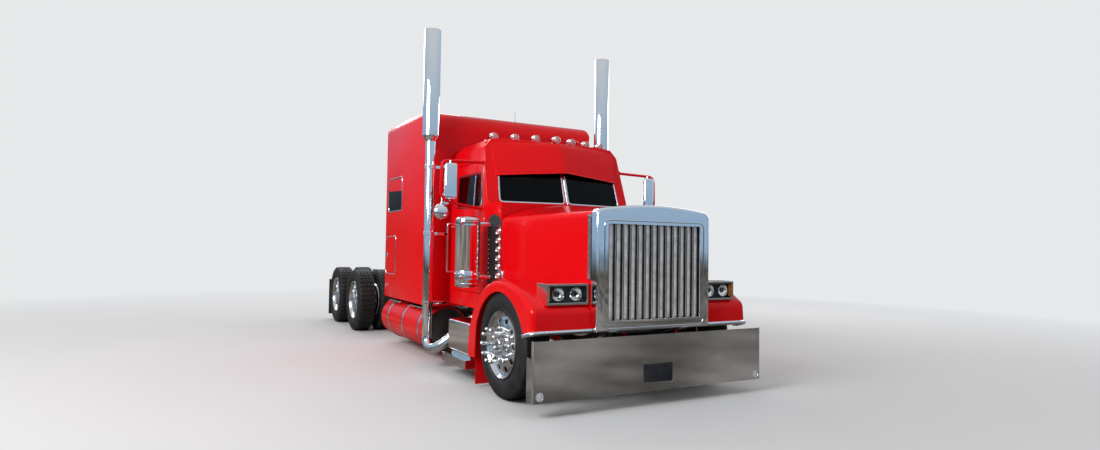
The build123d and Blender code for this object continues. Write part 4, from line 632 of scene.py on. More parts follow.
def tyre_part(centre_x, station, drive):
    """A tyre: its closed section is swept round the axle, with grooves and sipes that sink the tread's
    rows by a depth that depends on the row and on the angle."""
    half = [(0.092, 0.2835), (0.106, 0.286), (0.112, 0.3), (0.124, 0.33), (0.1285, 0.333), (0.133, 0.35),
            (0.1355, 0.376), (0.1345, 0.404), (0.1335, 0.407), (0.1315, 0.423), (0.126, 0.444), (0.1205, 0.4545),
            (0.1165, 0.4615), (0.11, 0.4698)]
    ribs = ((0.104, 0.068), (0.058, 0.024)) if not drive else ((0.103, 0.055), (0.044, 0.005))
    crown = []
    for outer, inner in ribs:
        crown += [(outer, 0.0, 1), (outer - 0.012, 0.0, 1), (inner + 0.006, 0.0, 1), (inner, 0.0, 1),
                  (inner - 0.0015, 0.013, 0), (inner - 0.0085, 0.013, 0)]
    crown[-1] = (0.0035, 0.013, 0) if drive else (0.0145, 0.0, 1)
    if not drive:
        crown[-2] = (0.016, 0.013, 0)
    drop = [0.0035 * (x / 0.11) ** 2 for x, _, _ in crown]
    rows = [(x, r, 0) for x, r in half]
    rows += [(x, TYRE_RADIUS - d - fall, block) for (x, d, block), fall in zip(crown, drop)]
    rows += [(-x, r, block) for x, r, block in rows[::-1]]
    rows += [(-0.08, 0.3, 0), (0.0, 0.305, 0), (0.08, 0.3, 0)]
    rows = np.array(rows)
    t = np.linspace(0, 2 * np.pi, TYRE_STEPS, endpoint=False)
    step = np.arange(TYRE_STEPS)
    cut = (step % 6 >= 5) if drive else (step % 8 >= 7)
    depth = (0.012 if drive else 0.004) * cut[None, :] * rows[:, 2][:, None]
    radius = rows[:, 1][:, None] - depth
    points = np.stack([centre_x + rows[:, 0][:, None] * np.ones(TYRE_STEPS), at(station) + radius * np.cos(t),
                       AXLE_HEIGHT + radius * np.sin(t)], -1)
    return points.reshape(-1, 3), grid_faces(len(rows), TYRE_STEPS, wrap_rows=True, wrap_columns=True).tolist()


def holed_disc(section, hole_circle, hole_radius, station, thickness):
    """A disc with a ring of round holes. Every sector is a grid from a hole's edge, angle by angle, out to
    the sector's border, and its along-axle place is the section's value at that radius. The grid's first
    row is the hole's edge once more, set back by the disc's thickness."""
    radii, along = np.array([r for _, r in section]), np.array([x for x, _ in section])
    inner, outer = radii.min(), radii.max()
    half_angle = np.pi / HAND_HOLES
    steps = 40
    t = np.linspace(0, 2 * np.pi, steps, endpoint=False) + np.pi / steps
    grow = np.array([0.0, 0.12, 0.35, 0.65, 1.0])
    radial, swing = np.cos(t), np.sin(t)
    span = np.where(radial > 0, outer - hole_circle, hole_circle - inner)
    reach = np.minimum(span / np.maximum(abs(radial), 1e-6),
                       half_angle * hole_circle / np.maximum(abs(swing), 1e-6))
    border_r = hole_circle + reach * radial
    border_a = reach * swing / hole_circle
    hole_r = hole_circle + hole_radius * radial
    hole_a = hole_radius * swing / hole_r
    r = hole_r[None] + (border_r - hole_r)[None] * grow[:, None]
    a = hole_a[None] + (border_a - hole_a)[None] * grow[:, None]
    order = np.argsort(radii)
    face_x = np.interp(r, radii[order], along[order])
    lip = np.array([0.004, 0.0008, 0.0, 0.0, 0.0])[:, None]
    rows_x = np.concatenate([(face_x - thickness)[:1], face_x - lip])
    rows_r = np.concatenate([r[:1], r])
    rows_a = np.concatenate([a[:1], a])
    parts = []
    for k in range(HAND_HOLES):
        angle = rows_a + 2 * half_angle * k
        points = np.stack([rows_x, at(station) + rows_r * np.cos(angle),
                           AXLE_HEIGHT + rows_r * np.sin(angle)], -1)
        parts.append((points.reshape(-1, 3), grid_faces(len(rows_x), steps, wrap_columns=True).tolist()))
    return joined(parts)


def around_wheel(make, circle, count, x, station):
    """Parts made at points spaced evenly round a wheel's face."""
    turns = np.arange(count) * 2 * np.pi / count
    return joined([make((x, at(station) + circle * math.cos(a), AXLE_HEIGHT + circle * math.sin(a)))
                   for a in turns])


def spike(centre, length):
    """A long lug cover: a flanged foot, a waist and a bullet-shaped head."""
    rows = [(-0.002, 0.0225), (0.006, 0.023), (0.01, 0.0195), (0.022, 0.018), (0.026, 0.0155), (0.06, 0.0145),
            (length - 0.05, 0.014), (length - 0.044, 0.0165), (length - 0.03, 0.0195), (length - 0.018, 0.019),
            (length - 0.008, 0.015), (length, 0.005)]
    return turned(rows, centre, LEFTWARD, 16)


def lug_parts(length, face, half, circle, end, station):
    """A ring of spikes of one length on the disc's face, and a ring of small studs, half their size across,
    on the axle's end."""
    return [around_wheel(lambda centre: spike(centre, length), LUG_CIRCLE, LUGS, face, station),
            around_wheel(lambda centre: rounded_block(np.array(centre) - half, np.array(centre) + half, 0.004),
                         circle, AXLE_STUDS, end, station)]


def front_rim_part():
    """A steer wheel: barrel and lips, a holed disc bowed outwards, the hub's cover and its lug spikes."""
    x0 = STEER_TYRE_X
    centre = (0, at(FRONT_AXLE), AXLE_HEIGHT)
    barrel = [(x0 - 0.118, 0.274), (x0 - 0.118, 0.2975), (x0 - 0.111, 0.2985), (x0 - 0.106, 0.284),
              (x0 + 0.106, 0.284), (x0 + 0.111, 0.2985), (x0 + 0.122, 0.2985), (x0 + 0.128, 0.2955),
              (x0 + 0.1285, 0.291), (x0 + 0.122, 0.286), (x0 + 0.112, 0.28), (x0 + 0.1, 0.271), (x0 + 0.09, 0.266),
              (x0 + 0.06, 0.262), (x0 + 0.02, 0.258), (x0 - 0.06, 0.262), (x0 - 0.1, 0.268)]
    disc = [(1.082, 0.266), (1.094, 0.256), (1.102, 0.245), (1.109, 0.225), (1.1135, 0.205), (1.118, 0.185),
            (1.121, 0.172)]
    hub = [(1.1, 0.172), (1.1215, 0.1722), (1.1225, 0.165), (1.1225, 0.1), (1.128, 0.098), (1.15, 0.0965),
           (1.1565, 0.0935), (1.158, 0.088), (1.158, 0.05), (1.162, 0.046), (1.162, 0.03), (1.16, 0.004)]
    drum = [(1.006, 0.0402), (1.006, 0.2), (1.08, 0.205), (1.084, 0.18), (1.1, 0.172), (1.1, 0.0402)]
    return joined([turned(barrel, centre, segments=96, ring=True),
                   holed_disc(disc, 0.218, 0.0255, FRONT_AXLE, 0.016), turned(hub, centre, segments=64),
                   turned(drum, centre, segments=64, ring=True)]
                  + lug_parts(0.1395, 1.1225, 0.006, 0.072, 1.158, FRONT_AXLE))


def drive_rims_part(station):
    """Twin rims: outer and inner barrels, the deep holed disc, hub and axle end, and lug spikes."""
    x0, x1, m = DUAL_OUTER_X, DUAL_INNER_X, DUAL_MIDDLE
    centre = (0, at(station), AXLE_HEIGHT)
    outer = [(x0 + 0.096, 0.27), (x0 + 0.118, 0.286), (x0 + 0.1185, 0.2945), (x0 + 0.114, 0.298),
             (x0 + 0.108, 0.297), (x0 + 0.104, 0.284), (x0 - 0.106, 0.284), (x0 - 0.108, 0.297),
             (x0 - 0.118, 0.297), (x0 - 0.118, 0.268), (x0 - 0.104, 0.262), (x0 - 0.06, 0.256), (x0 + 0.02, 0.2585),
             (x0 + 0.08, 0.265)]
    inner = [(x1 + 0.118, 0.27), (x1 + 0.118, 0.297), (x1 + 0.108, 0.297), (x1 + 0.104, 0.284), (x1 - 0.104, 0.284),
             (x1 - 0.108, 0.297), (x1 - 0.118, 0.297), (x1 - 0.118, 0.274), (x1 - 0.09, 0.264), (x1 + 0.08, 0.262)]
    disc = [(x0 - 0.08, 0.262), (m + 0.07, 0.254), (m + 0.034, 0.242), (m + 0.024, 0.228), (m + 0.019, 0.21),
            (m + 0.0145, 0.194), (m + 0.014, 0.18)]
    back = [(m, 0.18), (m, 0.194), (m - 0.004, 0.212), (m - 0.02, 0.24), (m - 0.056, 0.262), (m - 0.066, 0.262),
            (m - 0.03, 0.236), (m - 0.014, 0.205), (m - 0.014, 0.18)]
    hub = [(m + 0.0, 0.182), (m + 0.014, 0.181), (m + 0.014, 0.11), (m + 0.018, 0.1035), (m + 0.11, 0.1),
           (m + 0.15, 0.094), (m + 0.158, 0.09), (m + 0.16, 0.075), (1.074, 0.072), (1.078, 0.068), (1.0785, 0.03),
           (1.0785, 0.004)]
    drum = [(0.7, 0.0455), (0.7, 0.194), (0.706, 0.199), (m - 0.02, 0.199), (m - 0.001, 0.182), (1.05, 0.088),
            (1.05, 0.0455)]
    return joined([turned(outer, centre, segments=96, ring=True), turned(inner, centre, segments=96, ring=True),
                   holed_disc(disc, 0.2215, 0.0215, station, 0.012), turned(back, centre, segments=64, ring=True),
                   turned(hub, centre, segments=64), turned(drum, centre, segments=64, ring=True)]
                  + lug_parts(0.1495, m + 0.014, 0.007, 0.056, 1.0785, station))


class TRACTOR_OT_tyres(Operator):
    """Tyres with grooved treads and stepped sidewalls"""
    bl_idname = "tractor.tyres"
    bl_label = "Tyres"

    def execute(self, context):
        pair("steer_tyre", tyre_part(STEER_TYRE_X, FRONT_AXLE, False), "front_wheel", "tyre rubber", "front_tyre",
             angle=40)
        for axle, station in DRIVE_AXLES:
            pair(f"{axle}_twin_tyres", [tyre_part(x, station, True) for x in (DUAL_OUTER_X, DUAL_INNER_X)],
                 f"{axle}_wheels", "tyre rubber", f"{axle}_tyres", angle=40)
        return {"FINISHED"}


class TRACTOR_OT_rims(Operator):
    """Disc wheels with hand holes, hubs and spiked lug covers"""
    bl_idname = "tractor.rims"
    bl_label = "Rims"

    def execute(self, context):
        pair("steer_rim", front_rim_part(), "front_wheel", "polished aluminium", "front_rim")
        for axle, station in DRIVE_AXLES:
            pair(f"{axle}_twin_rims", drive_rims_part(station), f"{axle}_wheels", "polished aluminium",
                 f"{axle}_rims")
        return {"FINISHED"}


# ---- Chrome beside the cab

STACK = (1.16, at(2.68))
CANISTER = (1.106, at(1.65))
CANISTER_SLATS = 28


def stack_part():
    """One stack: the fat pipe with an open top and its reducer, the slim pipe with its bend to the foot,
    clamps at the joints and arms to the sleeper."""
    x, y = STACK
    upper = [(2.53, 0.058), (2.54, 0.06), (2.588, 0.0935), (2.6, 0.095), (3.811, 0.095), (3.813, 0.094),
             (3.812, 0.0915), (2.66, 0.091), (2.64, 0.0905), (2.64, 0.001), (2.53, 0.001)]
    route = smooth_path([(x, y, 2.532), (x, y, 0.21), (x, at(2.4), 0.21), (0.76, at(2.25), 0.56)], 0.16, 14)
    parts = [turned(upper, (x, y, 0), UPWARD, 48), tube(route, 0.058, 32)]
    for height in (0.7, 1.48, 2.24):
        parts.append(band([(0.023, 0.0575), (0.023, 0.0615), (0.02, 0.064)], (x, y, height), UPWARD, 40))
        for inner, outer, rear in ((x - 0.215, x - 0.06, y + 0.012), (x - 0.219, x - 0.181, at(2.822))):
            parts.append(rounded_block((inner, y - 0.012, height - 0.018), (outer, rear, height + 0.018), 0.004))
        parts.append(tube([(x + 0.045, y - 0.052, height), (x + 0.045, y - 0.075, height)], 0.008, 10))
    for height in (2.64, 2.9):
        parts.append(band([(0.006, 0.0945), (0.004, 0.0965)], (x, y, height), UPWARD, 48))
    return joined(parts)


def canister_part():
    """One air cleaner: a ribbed round body with domed ends, two strap bands with toggles, a louvered
    lower skirt and its arms to the cowl."""
    x, y = CANISTER
    body = [(0.932, 0.002), (0.932, 0.085), (0.936, 0.1), (0.946, 0.114), (0.958, 0.1215), (0.975, 0.122),
            (0.978, 0.1205), (0.982, 0.1205), (0.985, 0.122), (1.095, 0.122), (1.098, 0.1203), (1.104, 0.1203),
            (1.107, 0.122), (1.596, 0.122), (1.6, 0.1245), (1.606, 0.1245), (1.612, 0.122), (1.624, 0.114),
            (1.634, 0.098), (1.641, 0.07), (1.6435, 0.035), (1.6435, 0.002)]
    parts = [turned(body, (x, y, 0), UPWARD, 72)]
    for height in (1.0325, 1.5675):
        rows = [(0.0225, 0.121), (0.0225, 0.1262), (0.018, 0.127), (0.012, 0.1255)]
        parts.append(band(rows, (x, y, height), UPWARD, 72))
        parts.append(rounded_block((x + 0.1, y - 0.1, height - 0.016), (x + 0.122, y - 0.055, height + 0.016),
                                   0.005))
        parts.append(rounded_block((0.845, y - 0.028, height - 0.02), (x - 0.1, y + 0.028, height + 0.02), 0.006))
    for k in range(CANISTER_SLATS):
        a = 2 * math.pi * k / CANISTER_SLATS
        spot = np.array((x + 0.1212 * math.cos(a), y + 0.1212 * math.sin(a), 1.0))
        out = np.array((math.cos(a), math.sin(a), 0))
        slat = [spot + out * lift + np.array((0, 0, rise))
                for lift, rise in ((0.001, 0.068), (0.0045, 0.075), (0.001, 0.082))]
        parts.append(tube(slat, 0.0032, 6))
    return joined(parts)


class TRACTOR_OT_stacks(Operator):
    """Exhaust stacks with reducers, clamps and feet"""
    bl_idname = "tractor.stacks"
    bl_label = "Exhaust stacks"

    def execute(self, context):
        twin("stacks", stack_part(), "chassis", "crowned chrome", "exhaust_stacks")
        return {"FINISHED"}


class TRACTOR_OT_air_cleaners(Operator):
    """Air cleaner canisters on the cowl"""
    bl_idname = "tractor.air_cleaners"
    bl_label = "Air cleaners"

    def execute(self, context):
        twin("air_canisters", canister_part(), "chassis", "chrome", "air_cleaners")
        return {"FINISHED"}


TANK = (0.858, 0.362, 0.268)
TANK_STATIONS = (2.86, 4.74)


def tank_part():
    """A fuel tank: a round barrel between two dished ends with a rolled rim."""
    x, z, r = TANK
    front, rear = at(TANK_STATIONS[0]), at(TANK_STATIONS[1])
    end = [(0.03, 0.002), (0.029, r * 0.3), (0.024, r * 0.62), (0.014, r * 0.86), (0.004, r * 0.955),
           (0.0, r * 0.965), (0.0, r * 0.985), (0.004, r * 0.997), (0.012, r)]
    rows = [(front + a, b) for a, b in end] + [(rear - a, b) for a, b in end[::-1]]
    return turned(rows, (x, 0, z), BACKWARD, 72)


def tank_end_shade_part():
    """Painted shade in a tank's dished front end: a thin black closed disc that follows the dish."""
    x, z, r = TANK
    face = [(0.0285, 0.002), (0.0275, r * 0.3), (0.0225, r * 0.62), (0.012, r * 0.86), (0.0035, r * 0.94)]
    back = [(a + 0.003, b) for a, b in face[::-1]]
    return turned(face + back, (x, at(TANK_STATIONS[0]), z), BACKWARD, 72)


def strap_part(station):
    """A tank strap: a flat band carried round the barrel, with its arm up to the rail."""
    x, z, r = TANK
    rows = [(0.03, r + 0.0005), (0.03, r + 0.006), (0.026, r + 0.008)]
    y = at(station)
    return joined([band(rows, (x, y, z), BACKWARD, 72),
                   rounded_block((0.4305, y - 0.03, z + 0.15), (0.64, y + 0.03, 0.758), 0.006),
                   rounded_block((0.4305, y - 0.03, z + 0.05), (0.6, y + 0.03, z + 0.17), 0.006)])


class TRACTOR_OT_tanks(Operator):
    """Fuel tanks, their straps, filler caps and step trim"""
    bl_idname = "tractor.tanks"
    bl_label = "Fuel tanks"

    def execute(self, context):
        twin("tanks", tank_part(), "chassis", "body paint", "fuel_tanks")
        # the black disc is painted shade: it darkens the tank's front end where shade falls between the stack's
        # bend and the step box
        twin("tank_end_shade", tank_end_shade_part(), "chassis", "chassis black")
        straps = joined([strap_part(s) for s in (3.12, 3.77, 4.42)])
        twin("tank_straps", straps, "chassis", "chrome", "tank_brackets")
        x, z, r = TANK
        trim = []
        for low, high in ((3.02, 3.56), (4.02, 4.56)):
            trim.append(rounded_block((x + 0.115, at(low), z + 0.236), (x + 0.235, at(high), z + 0.25), 0.004))
            trim += [rounded_block((x + 0.13, at(s), z + 0.14), (x + 0.14, at(s + 0.03), z + 0.24), 0.003)
                     for s in (low + 0.04, high - 0.07)]
        trim.append(turned([(0.0, 0.05), (0.03, 0.05), (0.034, 0.046), (0.036, 0.002)],
                           (x + r * 0.5, at(3.78), z + r * 0.8), (0.5, 0, 0.8), 32))
        twin("tank_steps", trim, "chassis", "chrome")
        return {"FINISHED"}


# ---- Nose

GRILLE_HALF = 0.5
GRILLE_BOTTOM = 0.735
GRILLE_TOP = 1.545
VANES = 13


def mesh_panel(origin, across, up, width, height, cell, wire):
    """A punched sheet: every square cell keeps a diamond hole.

    Points = origin + i * across + j * up for each of a cell's eight border and four hole points."""
    columns, rows = max(1, round(width / cell)), max(1, round(height / cell))
    dx, dy = width / columns, height / rows
    ring = np.array([(0, 0), (0.5, 0), (1, 0), (1, 0.5), (1, 1), (0.5, 1), (0, 1), (0, 0.5)])
    hole = np.array([(0.5, wire), (1 - wire, 0.5), (0.5, 1 - wire), (wire, 0.5)])
    local = np.concatenate([ring, hole])
    i, j = np.meshgrid(np.arange(columns), np.arange(rows), indexing="ij")
    corner = np.stack([i.ravel(), j.ravel()], -1)[:, None, :] + local[None]
    flat = corner.reshape(-1, 2) * (dx, dy)
    front = np.asarray(origin) + flat[:, :1] * np.asarray(across) + flat[:, 1:] * np.asarray(up)
    quads = np.array([(0, 1, 8, 11), (2, 3, 9, 8), (4, 5, 10, 9), (6, 7, 11, 10)])
    triangles = np.array([(1, 2, 8), (3, 4, 9), (5, 6, 10), (7, 0, 11)])
    base = (np.arange(columns * rows) * 12)[:, None, None]
    faces = (base + quads[None]).reshape(-1, 4).tolist() + (base + triangles[None]).reshape(-1, 3).tolist()
    return front, faces


def louver_parts():
    """The grille's vanes: a bright rolled leading edge, a punched face running back, and a dark web behind."""
    pitch = 2 * GRILLE_HALF / VANES
    edges, faces, webs = [], [], []
    for k in range(VANES):
        left = -GRILLE_HALF + k * pitch
        line = np.array([(left + 0.011, at(0.06), GRILLE_BOTTOM), (left + 0.011, at(0.06), GRILLE_TOP)])
        edges.append(tube(line, 0.0088, 14))
        start = np.array((left + 0.016, at(0.059), GRILLE_BOTTOM))
        run = np.array((0.047, 0.0145, 0.0))
        length = float(np.linalg.norm(run))
        faces.append(mesh_panel(start, run / length, np.array((0, 0, 1.0)), length, GRILLE_TOP - GRILLE_BOTTOM,
                                0.0115, 0.205))
        webs.append(rounded_block((left + 0.002, at(0.06), GRILLE_BOTTOM), (left + 0.005, at(0.099), GRILLE_TOP),
                                  0.001, 3))
        edges.append(rounded_block((left + 0.0655, at(0.0712), GRILLE_BOTTOM),
                                   (left + 0.0685, at(0.0768), GRILLE_TOP), 0.001, 3))
    return joined(edges), joined(faces), joined(webs)


class TRACTOR_OT_grille(Operator):
    """Grille vanes with punched faces, and the surround's trim line"""
    bl_idname = "tractor.grille"
    bl_label = "Grille"

    def execute(self, context):
        edges, faces, webs = louver_parts()
        piece("grille_vanes", edges, "hood", "chrome", "grille_louvers")
        thicken(piece("grille_mesh", faces, "hood", "satin aluminium"), 0.0012)
        piece("grille_webs", webs, "hood", "chassis black", slot="chrome")
        back = prism([(-0.55, 0.705), (0.55, 0.705), (0.55, 1.575), (-0.55, 1.575)], (0, at(0.1035), 0), LEFTWARD,
                     UPWARD, 0.003)
        piece("grille_backing", back, "hood", "chassis black", slot="chrome")
        skin("grille_surround", "crowned chrome", 0.004, 30)
        frame_line = []
        for low, high in (((-0.531, 0.704), (-0.525, 1.59)), ((0.525, 0.704), (0.531, 1.59)),
                          ((-0.531, 1.584), (0.531, 1.59)), ((-0.531, 0.704), (0.531, 0.71))):
            frame_line.append(rounded_block((low[0], at(0.048), low[1]), (high[0], at(0.0535), high[1]), 0.002, 3))
        piece("grille_frame_line", frame_line, "hood", "chrome")
        return {"FINISHED"}


POD_LAMPS = (0.735, 0.905)
POD_MIDDLE = 0.955


def lamp_parts(x, z, station, radius):
    """A projector lamp: its bowl, a ring, and a domed front glass; each a lathe about the lamp's axis."""
    c = (x, at(station), z)
    bowl = [(0.0, radius), (0.003, radius + 0.003), (0.0, radius + 0.005), (-0.04, radius + 0.003), (-0.042, 0.002),
            (-0.036, 0.002), (-0.034, radius * 0.35), (-0.02, radius * 0.72), (-0.004, radius * 0.97)]
    eye = [(-0.034, 0.002), (-0.032, radius * 0.4), (-0.016, radius * 0.42), (-0.006, radius * 0.34),
           (0.0, radius * 0.18), (0.002, 0.002)]
    glass = [(-0.003, 0.002), (-0.002, radius * 0.9), (0.0, radius * 0.985), (0.004, radius * 0.93),
             (0.009, radius * 0.6), (0.011, 0.002)]
    return [turned(rows, c, FORWARD, 40, ring=ring) for rows, ring in ((bowl, True), (eye, False), (glass, False))]


class TRACTOR_OT_headlamps(Operator):
    """Headlamp pods with twin projector lamps"""
    bl_idname = "tractor.headlamps"
    bl_label = "Headlamps"

    def execute(self, context):
        skin("headlamp_pods", "chrome", 0.005, 30)
        bowls, eyes, glasses = map(list, zip(*(lamp_parts(x, POD_MIDDLE, 0.172, 0.052) for x in POD_LAMPS)))
        twin("headlamp_bowls", bowls, "hood", "chrome", "headlamps", slot="clear_glass")
        twin("headlamp_eyes", eyes, "hood", "lamp glass")
        twin("headlamp_glass", glasses, "hood", "lamp glass")
        back = rounded_block((0.641, at(0.203), 0.887), (1.001, at(0.2095), 1.023), 0.003, 3)
        twin("headlamp_backs", back, "hood", "moulded plastic")
        turn_lamp = rounded_block((0.985, at(0.163), 0.9), (1.0, at(0.195), 1.01), 0.004, 3)
        twin("turn_lamps", turn_lamp, "hood", "amber lens")
        return {"FINISHED"}


# ---- Body panels

PANELS = (
    # node, finish, edge rounding
    ("hood_shell", "body paint", 0.004),
    ("cab_shell", "body paint", 0.006),
    ("door_left", "body paint", 0.003),
    ("door_right", "body paint", 0.003),
    ("sleeper_shell", "body paint", 0.008),
    ("hatch_left", "body paint", 0.003),
    ("hatch_right", "body paint", 0.003),
    ("bumper", "mirror sheet", 0.002),
    ("step_boxes", "chrome", 0.005),
    ("deck_plate", "deck plate", 0.001),
    ("frame_rails", "chassis black", 0.003),
    ("fifth_wheel_base", "chassis black", 0.004),
    ("fifth_wheel_plate", "chassis black", 0.005),
    ("front_axle", "cast iron", 0.004),
    ("drive_axles", "cast iron", 0.004),
    ("knuckle_left", "cast iron", 0.002),
    ("knuckle_right", "cast iron", 0.002),
    ("tie_rod", "cast iron", 0.002),
    ("engine", "engine grey", 0.02),
    ("mud_flaps", "black rubber", 0.002),
    ("dashboard", "moulded plastic", 0.012),
    ("seat_bases", "chassis black", 0.01),
)
PANES = ("windscreen", "door_glass_left", "door_glass_right", "sleeper_glass")


class TRACTOR_OT_panels(Operator):
    """Body and chassis panels: the solids' own shapes with rounded edges and their finishes"""
    bl_idname = "tractor.panels"
    bl_label = "Panels"

    def execute(self, context):
        for name, finish, rounding in PANELS:
            skin(name, finish, rounding)
        for name in PANES:
            mesh = frame["nodes"][name].data
            mesh.materials.clear()
            mesh.materials.append(finish_of("window glass"))
        return {"FINISHED"}


# ---- Lamps, mirrors and small trim

def visor_part():
    """The drop visor's sheet, bent along its middle: eight rows from its lower lip up and back to the roof.

    Each row runs from side to side as (half width, station, rise of the station towards the sides, height,
    rise of the height towards the sides); distance from the middle is sqrt(u * u + 0.03 * 0.03) - 0.03.
    The first and the last row are tucked back and sideways, so that both edges roll over."""
    columns = 57
    rows = [(0.766, 1.617, 0.147, 2.158, -0.061), (0.77, 1.604, 0.147, 2.148, -0.061),
            (0.773, 1.611, 0.148, 2.152, -0.058), (0.794, 1.668, 0.15, 2.292, -0.024),
            (0.81, 1.727, 0.156, 2.428, 0.008), (0.808, 1.748, 0.157, 2.462, 0.004),
            (0.8, 1.782, 0.156, 2.49, -0.004), (0.79, 1.85, 0.15, 2.506, -0.018)]
    u = np.linspace(-1, 1, columns)
    away = np.sqrt(u * u + 0.03 ** 2) - 0.03
    grid = np.array([np.stack([half * u, at(station + slope * away), height + fall * away], -1)
                     for half, station, slope, height, fall in rows])
    grid[:, 0, 1] += 0.045
    grid[:, -1, 1] += 0.045
    grid[:, 0, 0] -= 0.004
    grid[:, -1, 0] += 0.004
    return grid.reshape(-1, 3), grid_faces(len(rows), columns).tolist()


LAMP_SPACING = 0.228
LAMP_SPOTS = [(LAMP_SPACING * k, 1.8 + 0.255 * abs(LAMP_SPACING * k)) for k in range(-3, 4)]
LAMP_HEIGHT = 2.54


def bullet_part(x, station):
    """A roof lamp's shell: oval sections along its length, full at the front and narrowing to a
    tail, with their lower halves drawn down to the roof."""
    rows, sides = 18, 28
    s = np.linspace(0, 1, rows)
    swell = np.sqrt(np.clip(1 - (1 - np.minimum(s / 0.25, 1)) ** 2, 0.6, 1))
    width = 0.041 * swell * (1 - 0.8 * np.clip((s - 0.25) / 0.75, 0, 1) ** 1.3)
    t = np.linspace(0, 2 * np.pi, sides, endpoint=False)
    down = 0.044 * (np.sin(t) < 0) * abs(np.sin(t)) ** 0.6
    height = width[:, None] * 0.95 * np.maximum(np.sin(t), 0)[None] - down[None]
    y = at(station) + 0.17 * s
    points = np.stack([x + width[:, None] * np.cos(t), y[:, None] * np.ones(sides), LAMP_HEIGHT + height], -1)
    return points.reshape(-1, 3), capped(grid_faces(rows, sides, wrap_columns=True), rows, sides)


class TRACTOR_OT_roof_lamps(Operator):
    """The drop visor and the seven bullet lamps above it"""
    bl_idname = "tractor.roof_lamps"
    bl_label = "Roof lamps"

    def execute(self, context):
        thicken(piece("visor", visor_part(), "chassis", "body paint", "sun_visor", angle=24), 0.005)
        piece("roof_lamp_shells", [bullet_part(x, y) for x, y in LAMP_SPOTS], "chassis", "chrome", "cab_lamps")
        rims, faces = [], []
        for x, station in LAMP_SPOTS:
            centre = (x, at(station + 0.001), LAMP_HEIGHT - 0.002)
            rims.append(turned([(-0.004, 0.037), (0.004, 0.038), (0.006, 0.036), (0.004, 0.0335), (-0.004, 0.0335)],
                               centre, FORWARD, 28, ring=True))
            faces.append(turned([(-0.002, 0.0345), (0.004, 0.0342), (0.01, 0.0265), (0.0125, 0.0115),
                                 (0.013, 0.001)], centre, FORWARD, 28))
        piece("roof_lamp_rims", rims, "chassis", "chrome")
        piece("roof_lamp_lenses", faces, "chassis", "rose lens")
        return {"FINISHED"}


LOOP = at(1.8)
HEAD_LOW = (1.18, at(1.752), 1.815)
HEAD_HIGH = (1.315, at(1.806), 2.186)


def loop_part():
    """The mirror's tube: from the door's top corner out, down and back in below the window."""
    corners = [(0.838, LOOP + 0.058, 2.226), (1.338, LOOP, 2.205), (1.345, LOOP, 1.85), (1.275, LOOP, 1.79),
               (0.884, LOOP + 0.03, 1.735)]
    feet = [turned([(0.0, 0.026), (0.01, 0.024), (0.012, 0.002)], place, LEFTWARD, 20)
            for place in ((0.868, LOOP + 0.054, 2.224), (0.886, LOOP + 0.03, 1.7353))]
    return joined([tube(smooth_path(corners, 0.075, 10), 0.0155, 18)] + feet)


class TRACTOR_OT_mirrors(Operator):
    """Door mirrors: tube loop, bright head with its glass, and the round glass below"""
    bl_idname = "tractor.mirrors"
    bl_label = "Mirrors"

    def execute(self, context):
        pair("mirror_loop", loop_part(), "door", "body paint", "mirror")
        x = (HEAD_LOW[0] + HEAD_HIGH[0]) / 2
        head = [rounded_block(HEAD_LOW, HEAD_HIGH, 0.026, 6), tube([(x, LOOP, 1.792), (x, LOOP, 2.212)], 0.01, 14)]
        for z in (1.86, 2.14):
            head.append(rounded_block((x - 0.03, LOOP - 0.012, z - 0.012), (1.342, LOOP + 0.014, z + 0.012), 0.005))
        cup = [(0.0, 0.002), (0.0, 0.081), (-0.004, 0.0815), (-0.01, 0.079), (-0.03, 0.062), (-0.042, 0.03),
               (-0.044, 0.002)]
        head.append(turned(cup, (1.33, LOOP + 0.012, 1.69), BACKWARD, 40))
        head.append(tube([(1.33, LOOP + 0.002, 1.7), (1.33, LOOP + 0.002, 1.852)], 0.011, 14))
        head.append(rounded_block((1.262, LOOP - 0.016, 1.76), (1.346, LOOP + 0.016, 1.786), 0.008))
        pair("mirror_head", head, "door", "crowned chrome")
        glass = [prism(outline, place, LEFTWARD, UPWARD, -0.0025) for outline, place in
                 ((oval(0.058, 0.172, 6, 40), (x, HEAD_HIGH[1] - 0.0015, 2.0)),
                  (oval(0.074, 0.074, 2, 40), (1.33, LOOP + 0.0115, 1.69)))]
        pair("mirror_glass", glass, "door", "mirror glass")
        return {"FINISHED"}


COWL = np.array((0.8, at(1.51), 0.0))
COWL_ALONG = np.array((0.3534, 0.9355, 0.0))
COWL_OUT = np.array((0.9355, -0.3534, 0.0))
COWL_BOTTOM = 0.965
COWL_TOP = 1.672


def on_cowl(along, height, lift):
    """A point of the cowl's slanting side, lifted off it."""
    return COWL + COWL_ALONG * along + COWL_OUT * lift + np.array((0.0, 0.0, height))


def cowl_panel(low, high, bottom, top, lift, depth):
    """A plate on the cowl's side with an arched head: straight sides and half an ellipse above."""
    middle, half = (low + high) / 2, (high - low) / 2
    t = np.linspace(0, np.pi, 17)
    outline = [(low, bottom), (high, bottom)]
    outline += [(middle + half * math.cos(a), top - half + half * math.sin(a)) for a in t]
    return prism(outline, COWL + COWL_OUT * lift, COWL_ALONG, UPWARD, depth)


def ring_lamps(centres, radius, depth, direction, segments=24):
    """The rims and the lenses of small round lamps, as two lists of lathe parts."""
    rim = [(0.0, radius + 0.004), (depth * 0.8, radius + 0.003), (depth, radius), (depth * 0.8, radius - 0.003),
           (0.0, radius - 0.003)]
    lens = [(0.0, radius - 0.002), (depth * 0.6, radius - 0.004), (depth * 1.1, radius * 0.5), (depth * 1.2, 0.001)]
    return ([turned(rim, centre, direction, segments, ring=True) for centre in centres],
            [turned(lens, centre, direction, segments) for centre in centres])


